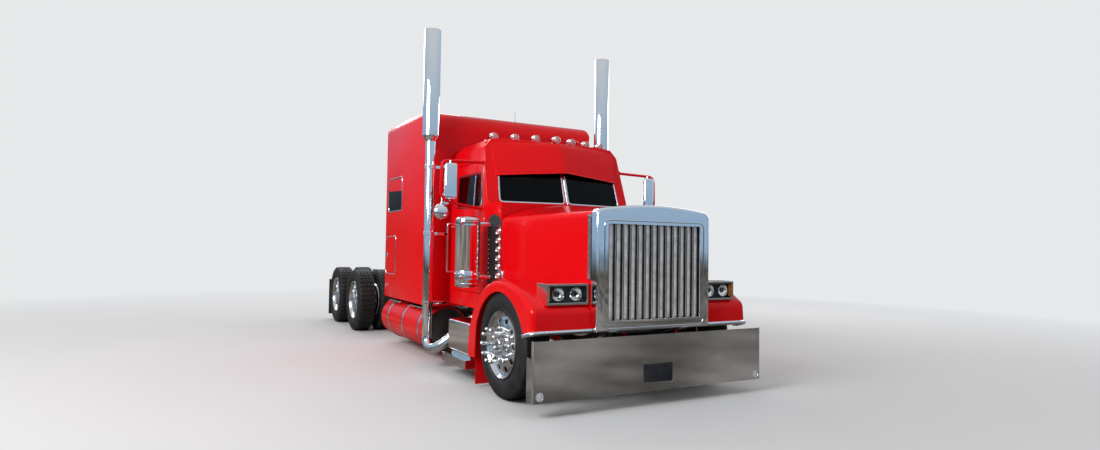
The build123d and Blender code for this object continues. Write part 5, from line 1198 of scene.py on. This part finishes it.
class TRACTOR_OT_cowl_lamps(Operator):
    """A flat dark plate of painted shade in the recess beside each air cleaner, with its column of lamps and its
    row of studs
    """
    bl_idname = "tractor.cowl_lamps"
    bl_label = "Cowl lamps"

    def execute(self, context):
        # the recess is a flat dark sheet on the cowl: painted shade standing in for the shadow inside the opening
        recess = cowl_panel(0.004, 0.196, COWL_BOTTOM, COWL_TOP, -0.001, 0.0025)
        twin("cowl_shade_plate", recess, "chassis", "moulded plastic")
        plate = cowl_panel(0.006, 0.074, 1.0, 1.56, 0.001, 0.006)
        twin("cowl_lamp_plate", plate, "chassis", "chrome", bevel=0.0015)
        places = [on_cowl(0.04, 1.049 + 0.0888 * k, 0.006) for k in range(6)]
        rims, lenses = ring_lamps(places, 0.0255, 0.008, COWL_OUT)
        stud = [(0.0, 0.0085), (0.003, 0.0082), (0.006, 0.006), (0.0072, 0.0005)]
        studs = [turned(stud, on_cowl(0.176, 1.03 + 0.0475 * k, 0.001), COWL_OUT, 14) for k in range(9)]
        twin("cowl_lamp_rims", rims + studs, "chassis", "chrome")
        twin("cowl_lamp_lenses", lenses, "chassis", "rose lens")
        return {"FINISHED"}


class TRACTOR_OT_marker_lamps(Operator):
    """Marker lamps on the cab and sleeper, fog lamps and tail lamps"""
    bl_idname = "tractor.marker_lamps"
    bl_label = "Marker lamps"

    def execute(self, context):
        places = [(0.8855, at(1.8), 0.8), (1.0925, at(2.93), 0.905), (1.0925, at(4.64), 0.79)]
        side_rims, markers = ring_lamps(places, 0.02, 0.012, LEFTWARD)
        bar = [rounded_block((-1.12, at(8.03), 0.72), (1.12, at(8.08), 0.87), 0.006, 5)]
        bar += [rounded_block((sign * 0.385 - 0.04, at(8.0185), 0.702), (sign * 0.385 + 0.04, at(8.0315), 0.878),
                              0.003, 3) for sign in (-1, 1)]
        piece("tail_bar_body", bar, "chassis", "chrome", "tail_bar")
        places = [(x, at(8.0795), 0.795) for x in (0.79, 0.91, 1.03)]
        tail_rims, reds = ring_lamps(places, 0.044, 0.016, BACKWARD, 36)
        twin("lamp_rims", side_rims + tail_rims, "chassis", "chrome")
        twin("side_markers", markers, "chassis", "rose lens")
        twin("tail_lamps", reds, "chassis", "red lens")
        centre = (1.156, at(0.0), 0.178)
        ring = [(-0.0005, 0.04), (-0.0005, 0.0365), (-0.004, 0.0345), (-0.012, 0.034), (-0.012, 0.0465),
                (-0.0082, 0.0465), (-0.008, 0.0405)]
        lens = [(-0.04, 0.03), (-0.012, 0.0338), (-0.006, 0.034), (-0.003, 0.026), (-0.0012, 0.014),
                (-0.0006, 0.001)]
        twin("fog_lamp_rims", turned(ring, centre, FORWARD, 40, ring=True), "chassis", "chrome")
        twin("fog_lamp_lenses", turned(lens, centre, FORWARD, 40), "chassis", "clear lens", "fog_lamps")
        return {"FINISHED"}


class TRACTOR_OT_nose_trim(Operator):
    """Blank bumper plate, bright fender bars, and the punched strips beside the grille on black backs of painted
    shade
    """
    bl_idname = "tractor.nose_trim"
    bl_label = "Nose trim"

    def execute(self, context):
        plate = prism(rounded_rectangle(0.1545, 0.0785, 0.008), (0, at(0.0024), 0.278), LEFTWARD, UPWARD, 0.0014)
        piece("bumper_plate", plate, "chassis", "plate blank")
        edge = bead(rounded_rectangle(0.1535, 0.0775, 0.008), (0, at(0.0013), 0.278), LEFTWARD, UPWARD,
                    0.0035, 0.0011)
        piece("plate_frame", edge, "chassis", "chassis black")
        path = smooth_path([(0.616, at(0.124), 0.652), (1.085, at(0.124), 0.652), (1.16, at(0.15), 0.645),
                            (1.168, at(0.262), 0.617)], 0.045, 8)
        twin("fender_bars", tube(path, 0.027, 18, 0.8), "hood", "chrome")
        strip = mesh_panel((0.6135, at(0.138), 1.08), BACKWARD, UPWARD, 0.05, 0.54, 0.01, 0.2)
        thicken(twin("nose_strips", strip, "hood", "polished aluminium", slot="chrome"), 0.001)
        # the black backs are painted shade: they stand in for the shadowed gap between the grille shell and the
        # hood's side
        backs = rounded_block((0.606, at(0.136), 1.074), (0.612, at(0.19), 1.626), 0.002, 3)
        twin("nose_strip_shade_backs", backs, "hood", "chassis black")
        studs = [turned([(0.0, 0.0045), (0.002, 0.0042), (0.0035, 0.0025), (0.004, 0.0004)],
                        (0.585, at(0.0385), z), FORWARD, 12) for z in np.linspace(0.7, 1.62, 12)]
        twin("grille_studs", studs, "hood", "chrome")
        corners = [(0.54, 0.668), (0.54, 1.575), (-0.54, 1.575), (-0.54, 0.668)]
        line = bead(closed_outline(corners, 0.06, 8), (0, at(0.0385), 0), LEFTWARD, UPWARD, 0.006, 0.004)
        piece("grille_line", line, "hood", "chrome")
        return {"FINISHED"}


LEAN = 0.0662
GLASS_SLOPE = 0.305


def lean_x(height):
    """The cab side's X at a height above its waist."""
    return 0.885 - LEAN * (height - 1.75)


def window_frames():
    """Bright lines round the two windscreen panes, each in the plane of its pane."""
    up = np.array((0.0, GLASS_SLOPE, 1.0)) / math.hypot(GLASS_SLOPE, 1.0)
    frames = []
    for sign in (1.0, -1.0):
        across = np.array((0.8, 0.11 * sign, 0.0)) / math.hypot(0.8, 0.11)
        corners = [(sign * 0.024, 0.022), (sign * 0.752, 0.022), (sign * 0.72, 0.545), (sign * 0.024, 0.545)]
        outline = closed_outline(corners if sign > 0 else corners[::-1], 0.045)
        out = np.cross(across, up)
        frames.append(bead(outline, np.array((0.0, at(1.57), 1.79)) - out * 0.001, across, up, 0.0085, 0.0045))
    frames.append(tube([(0.0, at(1.5655), 1.802), (0.0, at(1.5655 + GLASS_SLOPE * 0.545), 2.347)], 0.021, 16, 0.35))
    return joined(frames)


class TRACTOR_OT_cab_trim(Operator):
    """Window lines, vent bars, door and grab handles, wipers, hood latches and the aerial"""
    bl_idname = "tractor.cab_trim"
    bl_label = "Cab trim"

    def execute(self, context):
        grip = [(0.888, at(2.495), 1.56), (0.919, at(2.51), 1.56), (0.919, at(2.592), 1.56),
                (0.888, at(2.606), 1.56)]
        handle = [rounded_block((0.884, at(2.485), 1.545), (0.8925, at(2.615), 1.575), 0.004),
                  tube(smooth_path(grip, 0.015, 5), 0.0085, 12)]
        pair("door_handle", handle, "door", "chrome")
        ends = [(lean_x(z) - 0.014, at(station), z) for station, z in ((2.078, 1.755), (2.086, 2.112))]
        pair("vent_bar", tube(ends, 0.0095, 10, 0.5), "door", "mirror glass")
        up = np.array((-LEAN, 0.0, 1.0)) / math.hypot(LEAN, 1.0)
        corners = [(at(1.8), 0.0), (at(2.577), 0.025), (at(2.577), 0.377), (at(1.888), 0.377)]
        seal = bead(closed_outline(corners, 0.055), (0.8852, 0.0, 1.75), BACKWARD, up, 0.007, 0.0028)
        pair("window_seal", seal, "door", "black rubber", slot="trim_plastic")
        hinges = joined([tube([(0.889, at(1.7435), z - 0.045), (0.889, at(1.7435), z + 0.045)], 0.007, 12)
                         for z in (1.02, 1.62)])
        for side, sign in SIDES:
            piece(f"door_hinges_{side}", on_side(hinges, sign), "chassis", "chrome")
        rail = [(0.884, at(2.685), 1.05), (0.935, at(2.685), 1.05), (0.935, at(2.685), 1.6),
                (0.884, at(2.685), 1.6)]
        twin("grab_handles", tube(smooth_path(rail, 0.04, 6), 0.014, 14), "chassis", "chrome")
        piece("windscreen_lines", window_frames(), "chassis", "chrome")
        wipers = []
        for x in (0.14, -0.62):
            foot = np.array((x + 0.02, at(1.59 + 0.1375 * abs(x + 0.02)), 1.802))
            tip = np.array((x + 0.3, at(1.672 + 0.1375 * abs(x + 0.3)), 2.06))
            wipers += [tube([foot, foot * 0.5 + tip * 0.5 + np.array((0, -0.012, 0)), tip], 0.005, 8),
                       tube([tip + np.array((-0.12, -0.004, -0.2)), tip + np.array((0.05, -0.004, 0.1))],
                            0.0045, 6)]
        piece("wipers", wipers, "chassis", "black rubber", slot="trim_plastic")
        latch = [rounded_block((0.786, at(1.44), 1.02), (0.812, at(1.47), 1.1), 0.006),
                 tube([(0.812, at(1.455), 1.035), (0.826, at(1.466), 1.12)], 0.006, 10)]
        twin("hood_latches", latch, "hood", "chrome")
        foot = [(0.0, 0.016), (0.012, 0.014), (0.03, 0.006), (0.034, 0.003)]
        aerial = [turned(foot, (-0.395, at(2.06), 2.522), UPWARD, 16),
                  tube([(-0.395, at(2.06), 2.55), (-0.395, at(2.075), 2.86)], [0.0028, 0.0016], 8)]
        piece("aerial", aerial, "chassis", "chassis black")
        return {"FINISHED"}


SLEEPER_SIDE = 1.092
SLEEPER_WINDOW = (at(4.301), 2.031)
HATCH_HEIGHT = 1.214


class TRACTOR_OT_sleeper_trim(Operator):
    """Bright lines round the sleeper's windows and hatches, their latches, and the windows' upper panels"""
    bl_idname = "tractor.sleeper_trim"
    bl_label = "Sleeper trim"

    def execute(self, context):
        line = bead(rounded_rectangle(0.313, 0.223, 0.06), (SLEEPER_SIDE, *SLEEPER_WINDOW), BACKWARD, UPWARD,
                    0.01, 0.006)
        twin("sleeper_window_lines", line, "chassis", "chrome")
        outline = closed_outline([(-0.3, 0.035), (0.3, 0.06), (0.3, 0.21), (-0.3, 0.21)], 0.03)
        blind = prism(outline, (SLEEPER_SIDE - 0.0055, *SLEEPER_WINDOW), BACKWARD, UPWARD, 0.005)
        twin("sleeper_window_panels", blind, "chassis", "body paint", bevel=0.002)
        edge = bead(rounded_rectangle(0.226, 0.255, 0.045), (SLEEPER_SIDE, at(4.465), HATCH_HEIGHT), BACKWARD,
                    UPWARD, 0.007, 0.005)
        knob = [(0.0, 0.03), (0.004, 0.029), (0.006, 0.024), (0.003, 0.02), (0.003, 0.001)]
        latch = [turned(knob, (SLEEPER_SIDE, at(4.64), HATCH_HEIGHT), LEFTWARD, 24),
                 rounded_block((SLEEPER_SIDE + 0.002, at(4.618), 1.207), (SLEEPER_SIDE + 0.009, at(4.662), 1.221),
                               0.003)]
        pair("hatch_trim", [edge] + latch, "hatch", "chrome")
        return {"FINISHED"}


class TRACTOR_OT_running_gear(Operator):
    """Driveshafts, brake chambers and the air springs' rings"""
    bl_idname = "tractor.running_gear"
    bl_label = "Running gear"

    def execute(self, context):
        shafts = []
        for front, rear in (((2.212, 0.595), (5.985, 0.5)), ((6.372, 0.48), (7.305, 0.48))):
            start, end = (np.array((0.0, at(station), height)) for station, height in (front, rear))
            length = float(np.linalg.norm(end - start))
            run = (end - start) / length
            rows = [(0.0, 0.058), (0.03, 0.06), (0.034, 0.036), (0.11, 0.034), (0.15, 0.046),
                    (length - 0.15, 0.046), (length - 0.11, 0.034), (length - 0.034, 0.036), (length - 0.03, 0.06),
                    (length, 0.058)]
            shafts.append(turned(rows, start, run, 28))
        piece("driveshafts", shafts, "chassis", "cast iron")
        chambers, rings = [], []
        can = [(0.0, 0.03), (0.004, 0.07), (0.05, 0.082), (0.054, 0.09), (0.066, 0.09), (0.07, 0.082),
               (0.12, 0.078), (0.13, 0.06), (0.134, 0.002)]
        for _, station in DRIVE_AXLES:
            chambers.append(turned(can, (0.545, at(station - 0.15), 0.52), (-1, 0, 0), 32))
            for height in (0.5, 0.545):
                place = (0.3875, at(station + 0.29), height)
                rings.append(band([(0.006, 0.1115), (0.004, 0.1165)], place, UPWARD, 40))
        twin("brake_chambers", chambers, "chassis", "chassis black")
        twin("spring_rings", rings, "chassis", "black rubber")
        return {"FINISHED"}


# ---- Interior

WHEEL_TILT = np.array((0.0, 0.8, 0.55)) / math.hypot(0.8, 0.55)
WHEEL_CENTRE = np.array((0.45, at(1.85), 1.5)) + WHEEL_TILT * 0.175
WHEEL_RADIUS = 0.221


class TRACTOR_OT_steering_wheel(Operator):
    """The steering wheel: a ring, three spokes and a hub pad"""
    bl_idname = "tractor.steering_wheel"
    bl_label = "Steering wheel"

    def execute(self, context):
        steps, sides = 64, 12
        w = WHEEL_TILT
        down = np.array((0, w[2], -w[1]))
        t = np.linspace(0, 2 * np.pi, steps, endpoint=False)
        centre = WHEEL_CENTRE + w * 0.011
        path = centre + WHEEL_RADIUS * (np.cos(t)[:, None] * np.array((1.0, 0, 0)) + np.sin(t)[:, None] * down)
        s = np.linspace(0, 2 * np.pi, sides, endpoint=False)
        out = (path - centre) / WHEEL_RADIUS
        points = path[:, None] + 0.0135 * (np.cos(s)[None, :, None] * out[:, None]
                                           + np.sin(s)[None, :, None] * w * 0.8)
        hub = [(-0.039, 0.02), (-0.008, 0.022), (-0.006, 0.042), (0.014, 0.044), (0.021, 0.036), (0.022, 0.002)]
        parts = [(points.reshape(-1, 3), grid_faces(steps, sides, True, True).tolist()),
                 turned(hub, WHEEL_CENTRE, w, 32)]
        for turn in (90, 210, 330):
            a = math.radians(turn)
            ray = math.cos(a) * np.array((1.0, 0, 0)) + math.sin(a) * down
            parts.append(tube([centre + ray * 0.035, centre + ray * 0.212], [0.013, 0.011], 12, 0.5))
        piece("steering_wheel_ring", parts, "steering_wheel", "moulded plastic", "steering_wheel")
        return {"FINISHED"}


def cushion(low, high, lean=0.0):
    """A closed pad: grid over a superellipsoid, crowned in the middle and pinched along sewn channels.

    Point = middle + half * signed powers of the sphere's coordinates, where the power is below one, so
    the form fills its block, and the channels scale it by 1 - depth * gaussian of the distance to each."""
    low, high = np.asarray(low, float), np.asarray(high, float)
    middle, half = (low + high) / 2, (high - low) / 2
    rows, columns, power = 49, 96, 0.38
    u = np.linspace(-np.pi / 2, np.pi / 2, rows)[:, None]
    v = np.linspace(0, 2 * np.pi, columns, endpoint=False)[None]
    raw = np.stack([np.cos(u) * np.cos(v), np.cos(u) * np.sin(v), np.sin(u) * np.ones_like(v)], -1)
    shape = np.sign(raw) * np.abs(raw) ** power
    grow = 1 - 0.045 * (shape[..., 0] ** 2 + shape[..., 1] ** 2) * 0.5
    for place in (-0.45, 0.0, 0.45):
        grow = grow - 0.035 * np.exp(-((shape[..., 0] - place) / 0.05) ** 2) * (np.abs(shape[..., 2]) > 0.6)
    points = middle + shape * half * grow[..., None]
    points[..., 1] += lean * (points[..., 2] - low[2])
    return points.reshape(-1, 3), grid_faces(rows, columns, wrap_columns=True).tolist()


class TRACTOR_OT_seats(Operator):
    """Driver and passenger seats: padded cushions and backs"""
    bl_idname = "tractor.seats"
    bl_label = "Seats"

    def execute(self, context):
        for x, label, node_name in ((0.45, "left", "seat_cushions"), (-0.45, "right", "")):
            cushion_part = cushion((x - 0.258, at(2.14), 1.226), (x + 0.258, at(2.602), 1.366))
            seat = piece(f"seat_cushion_{label}", cushion_part, "chassis", "hide", node_name, angle=60)
            back_part = cushion((x - 0.248, at(2.478), 1.335), (x + 0.248, at(2.58), 2.076), 0.085)
            back = piece(f"seat_back_{label}", back_part, "chassis", "hide", angle=60)
        return {"FINISHED"}


# ---- Stage

CAMERA_PLACE = (-3.624, -8.599, 1.329)
CAMERA_YAW = math.radians(29.166)
CAMERA_PITCH = math.radians(2.05)
CAMERA_ROLL = math.radians(0.772)
SENSOR = 36.0
FOCAL_PIXELS = 662.579
IMAGE_WIDTH = 1100


def camera_matrix():
    """The camera's world matrix from its place, yaw towards +X, pitch up and roll."""
    forward = Vector((math.sin(CAMERA_YAW) * math.cos(CAMERA_PITCH), math.cos(CAMERA_YAW) * math.cos(CAMERA_PITCH),
                      math.sin(CAMERA_PITCH)))
    right = Vector((math.cos(CAMERA_YAW), -math.sin(CAMERA_YAW), 0))
    up = right.cross(forward)
    turned_right = right * math.cos(CAMERA_ROLL) + up * math.sin(CAMERA_ROLL)
    turned_up = up * math.cos(CAMERA_ROLL) - right * math.sin(CAMERA_ROLL)
    rows = Matrix((turned_right, turned_up, -forward)).transposed().to_4x4()
    rows.translation = Vector(CAMERA_PLACE)
    return rows


def soft_light(name, place, target, size, power):
    """A large area lamp that looks at a point."""
    lamp = bpy.data.lights.new(name, "AREA")
    lamp.shape = "RECTANGLE"
    lamp.size, lamp.size_y = size
    lamp.energy = power
    aim = (Vector(target) - Vector(place)).to_track_quat("-Z", "Y")
    added(name, lamp).matrix_world = Matrix.Translation(place) @ aim.to_matrix().to_4x4()


BACKDROP = (0.8, 0.81, 0.82, 1.0)
LAMPS = (
    # name, place, point it looks at, size, share of the key lamp's power
    ("key", (-10.5, -5.5, 7.5), (0, -1.0, 1.2), (6, 5), 1.0),
    ("fill", (9.5, 3.0, 5.0), (0, 0, 1.2), (7, 4), 0.22),
    ("back", (0.0, 11.0, 9.0), (0, 1.0, 1.5), (9, 5), 0.5),
)


def build_world(level):
    """A pale room: plain to the camera and through glass, a soft grey that brightens overhead to matt
    surfaces, and a darker, uneven band under a cool bright ceiling to metal and gloss."""
    world = bpy.data.worlds.new("pale room")
    world.use_nodes = True
    tree = world.node_tree
    tree.nodes.clear()
    sky = node(tree, "ShaderNodeTexCoord").outputs["Generated"]
    height = height_of(tree, sky)
    soft = stretch_range(tree, height, -0.02, 0.6, 0.3, 1.0)
    grey = node(tree, "ShaderNodeCombineColor", [(0, soft), (1, soft), (2, soft)]).outputs[0]
    noise = node(tree, "ShaderNodeTexNoise", [("Vector", sky), ("Scale", 7.0), ("Detail", 4.0)]).outputs["Fac"]
    ragged = node(tree, "ShaderNodeMath", [(0, noise), (1, 0.16), (2, height)], operation="MULTIPLY_ADD").outputs[0]
    band = mixed_colour(tree, stretch_range(tree, noise, 0.35, 0.65), (0.035, 0.034, 0.03, 1.0),
                        (0.22, 0.2, 0.17, 1.0))
    ceiling = mixed_colour(tree, stretch_range(tree, height, 0.25, 0.8), (0.5, 0.72, 0.98, 1.0),
                           (0.95, 1.0, 1.05, 1.0))
    shiny = mixed_colour(tree, stretch_range(tree, ragged, 0.11, 0.25), band, ceiling)
    ray = node(tree, "ShaderNodeLightPath").outputs
    light = mixed_colour(tree, ray["Is Glossy Ray"], grey, shiny)
    lit = node(tree, "ShaderNodeBackground", [("Color", light), ("Strength", level)])
    plain = node(tree, "ShaderNodeBackground", [("Color", BACKDROP), ("Strength", 1.0)])
    seen = math_node(tree, "MAXIMUM", ray["Is Camera Ray"], ray["Is Transmission Ray"])
    mix = node(tree, "ShaderNodeMixShader", [(0, seen), (1, lit.outputs[0]), (2, plain.outputs[0])])
    node(tree, "ShaderNodeOutputWorld", [("Surface", mix.outputs[0])])
    bpy.context.scene.world = world


def make_floor(colour):
    """The floor's material: plain near the truck, fading into the backdrop for the camera, and darker and
    patchy where metal mirrors it."""
    material, tree, shader = blank("pale floor", Roughness=0.9, Specular_IOR_Level=0.0, Emission_Color=BACKDROP)
    tint = colour4(colour)
    shade = mixed_colour(tree, scaled_noise(tree, 0.8, 4.0), colour4([c * 0.97 for c in tint[:3]]), tint)
    patches = stretch_range(tree, scaled_noise(tree, 0.55, 5.0), 0.4, 0.62)
    mirrored_ground = mixed_colour(tree, patches, (0.1, 0.095, 0.085, 1.0), (0.33, 0.31, 0.29, 1.0))
    ray = node(tree, "ShaderNodeLightPath").outputs
    seen = mixed_colour(tree, ray["Is Glossy Ray"], shade, mirrored_ground)
    away = vector_node(tree, "LENGTH", (0, object_place(tree))).outputs["Value"]
    glow = math_node(tree, "MULTIPLY", stretch_range(tree, away, 5.0, 13.0), ray["Is Camera Ray"])
    wire(tree, shader, Base_Color=mixed_colour(tree, glow, seen, (0.0, 0.0, 0.0, 1.0)), Emission_Strength=glow)
    return material


def build_floor(colour):
    """A disc of rings that grow outwards, on the ground."""
    sides = 96
    t = np.linspace(0, 2 * np.pi, sides, endpoint=False)
    radii = np.array([0.5, 6.0, 14.0, 40.0, 90.0])[:, None]
    points = np.stack([radii * np.cos(t), radii * np.sin(t), np.zeros((len(radii), sides))], -1).reshape(-1, 3)
    faces = grid_faces(len(radii), sides, wrap_columns=True)[:, ::-1].tolist() + [list(range(sides))]
    mesh = bpy.data.meshes.new("floor")
    mesh.from_pydata(points.tolist(), [], faces)
    mesh.materials.append(make_floor(colour))
    added("floor", mesh)


def build_camera(scene):
    """The photograph's camera."""
    data = bpy.data.cameras.new("camera")
    data.sensor_width = SENSOR
    data.lens = FOCAL_PIXELS / IMAGE_WIDTH * SENSOR
    data.clip_end = 400
    camera = added("camera", data)
    camera.matrix_world = camera_matrix()
    scene.camera = camera


class TRACTOR_OT_stage(Operator):
    """Floor, soft lights, pale room and the camera"""
    bl_idname = "tractor.stage"
    bl_label = "Stage"

    def execute(self, context):
        scene = context.scene
        settings = scene.tractor_stage
        build_floor(settings.floor_colour)
        build_world(settings.room_level)
        for name, place, target, size, share in LAMPS:
            soft_light(name, place, target, size, settings.lamp_power * share)
        scene.view_settings.view_transform = "Standard"
        build_camera(scene)
        return {"FINISHED"}


# ---- Settings, panel and run


class TractorFinish(PropertyGroup):
    """Colours and wear that a user would change"""
    body_colour: FloatVectorProperty(name="Body colour", description="Colour of the painted panels",
                                     subtype="COLOR", size=3, min=0.0, max=1.0, default=(0.78, 0.0008, 0.004))
    dust: FloatProperty(name="Dust", description="Amount of road dust low on the painted panels", subtype="FACTOR",
                        min=0.0, max=1.0, default=0.25)


class TractorStage(PropertyGroup):
    """Floor and light levels"""
    floor_colour: FloatVectorProperty(name="Floor colour", description="Colour of the floor", subtype="COLOR",
                                      size=3, min=0.0, max=1.0, default=(0.62, 0.62, 0.63))
    room_level: FloatProperty(name="Room level", description="Strength of the room's even light", min=0.0, max=3.0,
                              default=0.6)
    lamp_power: FloatProperty(name="Lamp power", description="Power of the key lamp", unit="POWER", min=0.0,
                              default=1120.0)


STEPS = (
    TRACTOR_OT_panels, TRACTOR_OT_tyres, TRACTOR_OT_rims, TRACTOR_OT_stacks, TRACTOR_OT_air_cleaners,
    TRACTOR_OT_tanks, TRACTOR_OT_grille, TRACTOR_OT_headlamps, TRACTOR_OT_roof_lamps, TRACTOR_OT_mirrors,
    TRACTOR_OT_cowl_lamps, TRACTOR_OT_marker_lamps, TRACTOR_OT_nose_trim, TRACTOR_OT_cab_trim,
    TRACTOR_OT_sleeper_trim, TRACTOR_OT_running_gear, TRACTOR_OT_steering_wheel, TRACTOR_OT_seats, TRACTOR_OT_stage,
)


class TRACTOR_PT_tools(Panel):
    """The tractor's settings and its pieces"""
    bl_label = "Tractor"
    bl_idname = "TRACTOR_PT_tools"
    bl_space_type = "VIEW_3D"
    bl_region_type = "UI"
    bl_category = "Tractor"

    def draw(self, context):
        for settings in (context.scene.tractor_finish, context.scene.tractor_stage):
            box = self.layout.box()
            for name in settings.__annotations__:
                box.prop(settings, name)
        column = self.layout.column(align=True)
        for step in STEPS:
            column.operator(step.bl_idname)


CLASSES = (TractorFinish, TractorStage) + STEPS + (TRACTOR_PT_tools,)


def register():
    """Register the settings, the operators and the panel."""
    for some in CLASSES:
        bpy.utils.register_class(some)
    bpy.types.Scene.tractor_finish = PointerProperty(type=TractorFinish)
    bpy.types.Scene.tractor_stage = PointerProperty(type=TractorStage)


def unregister():
    """Take the settings, the operators and the panel away again."""
    del bpy.types.Scene.tractor_finish
    del bpy.types.Scene.tractor_stage
    for some in reversed(CLASSES):
        bpy.utils.unregister_class(some)


def main():
    """Build every piece in order."""
    register()
    for step in STEPS:
        group, name = step.bl_idname.split(".")
        getattr(getattr(bpy.ops, group), name)()


if __name__ == "__main__":
    main()
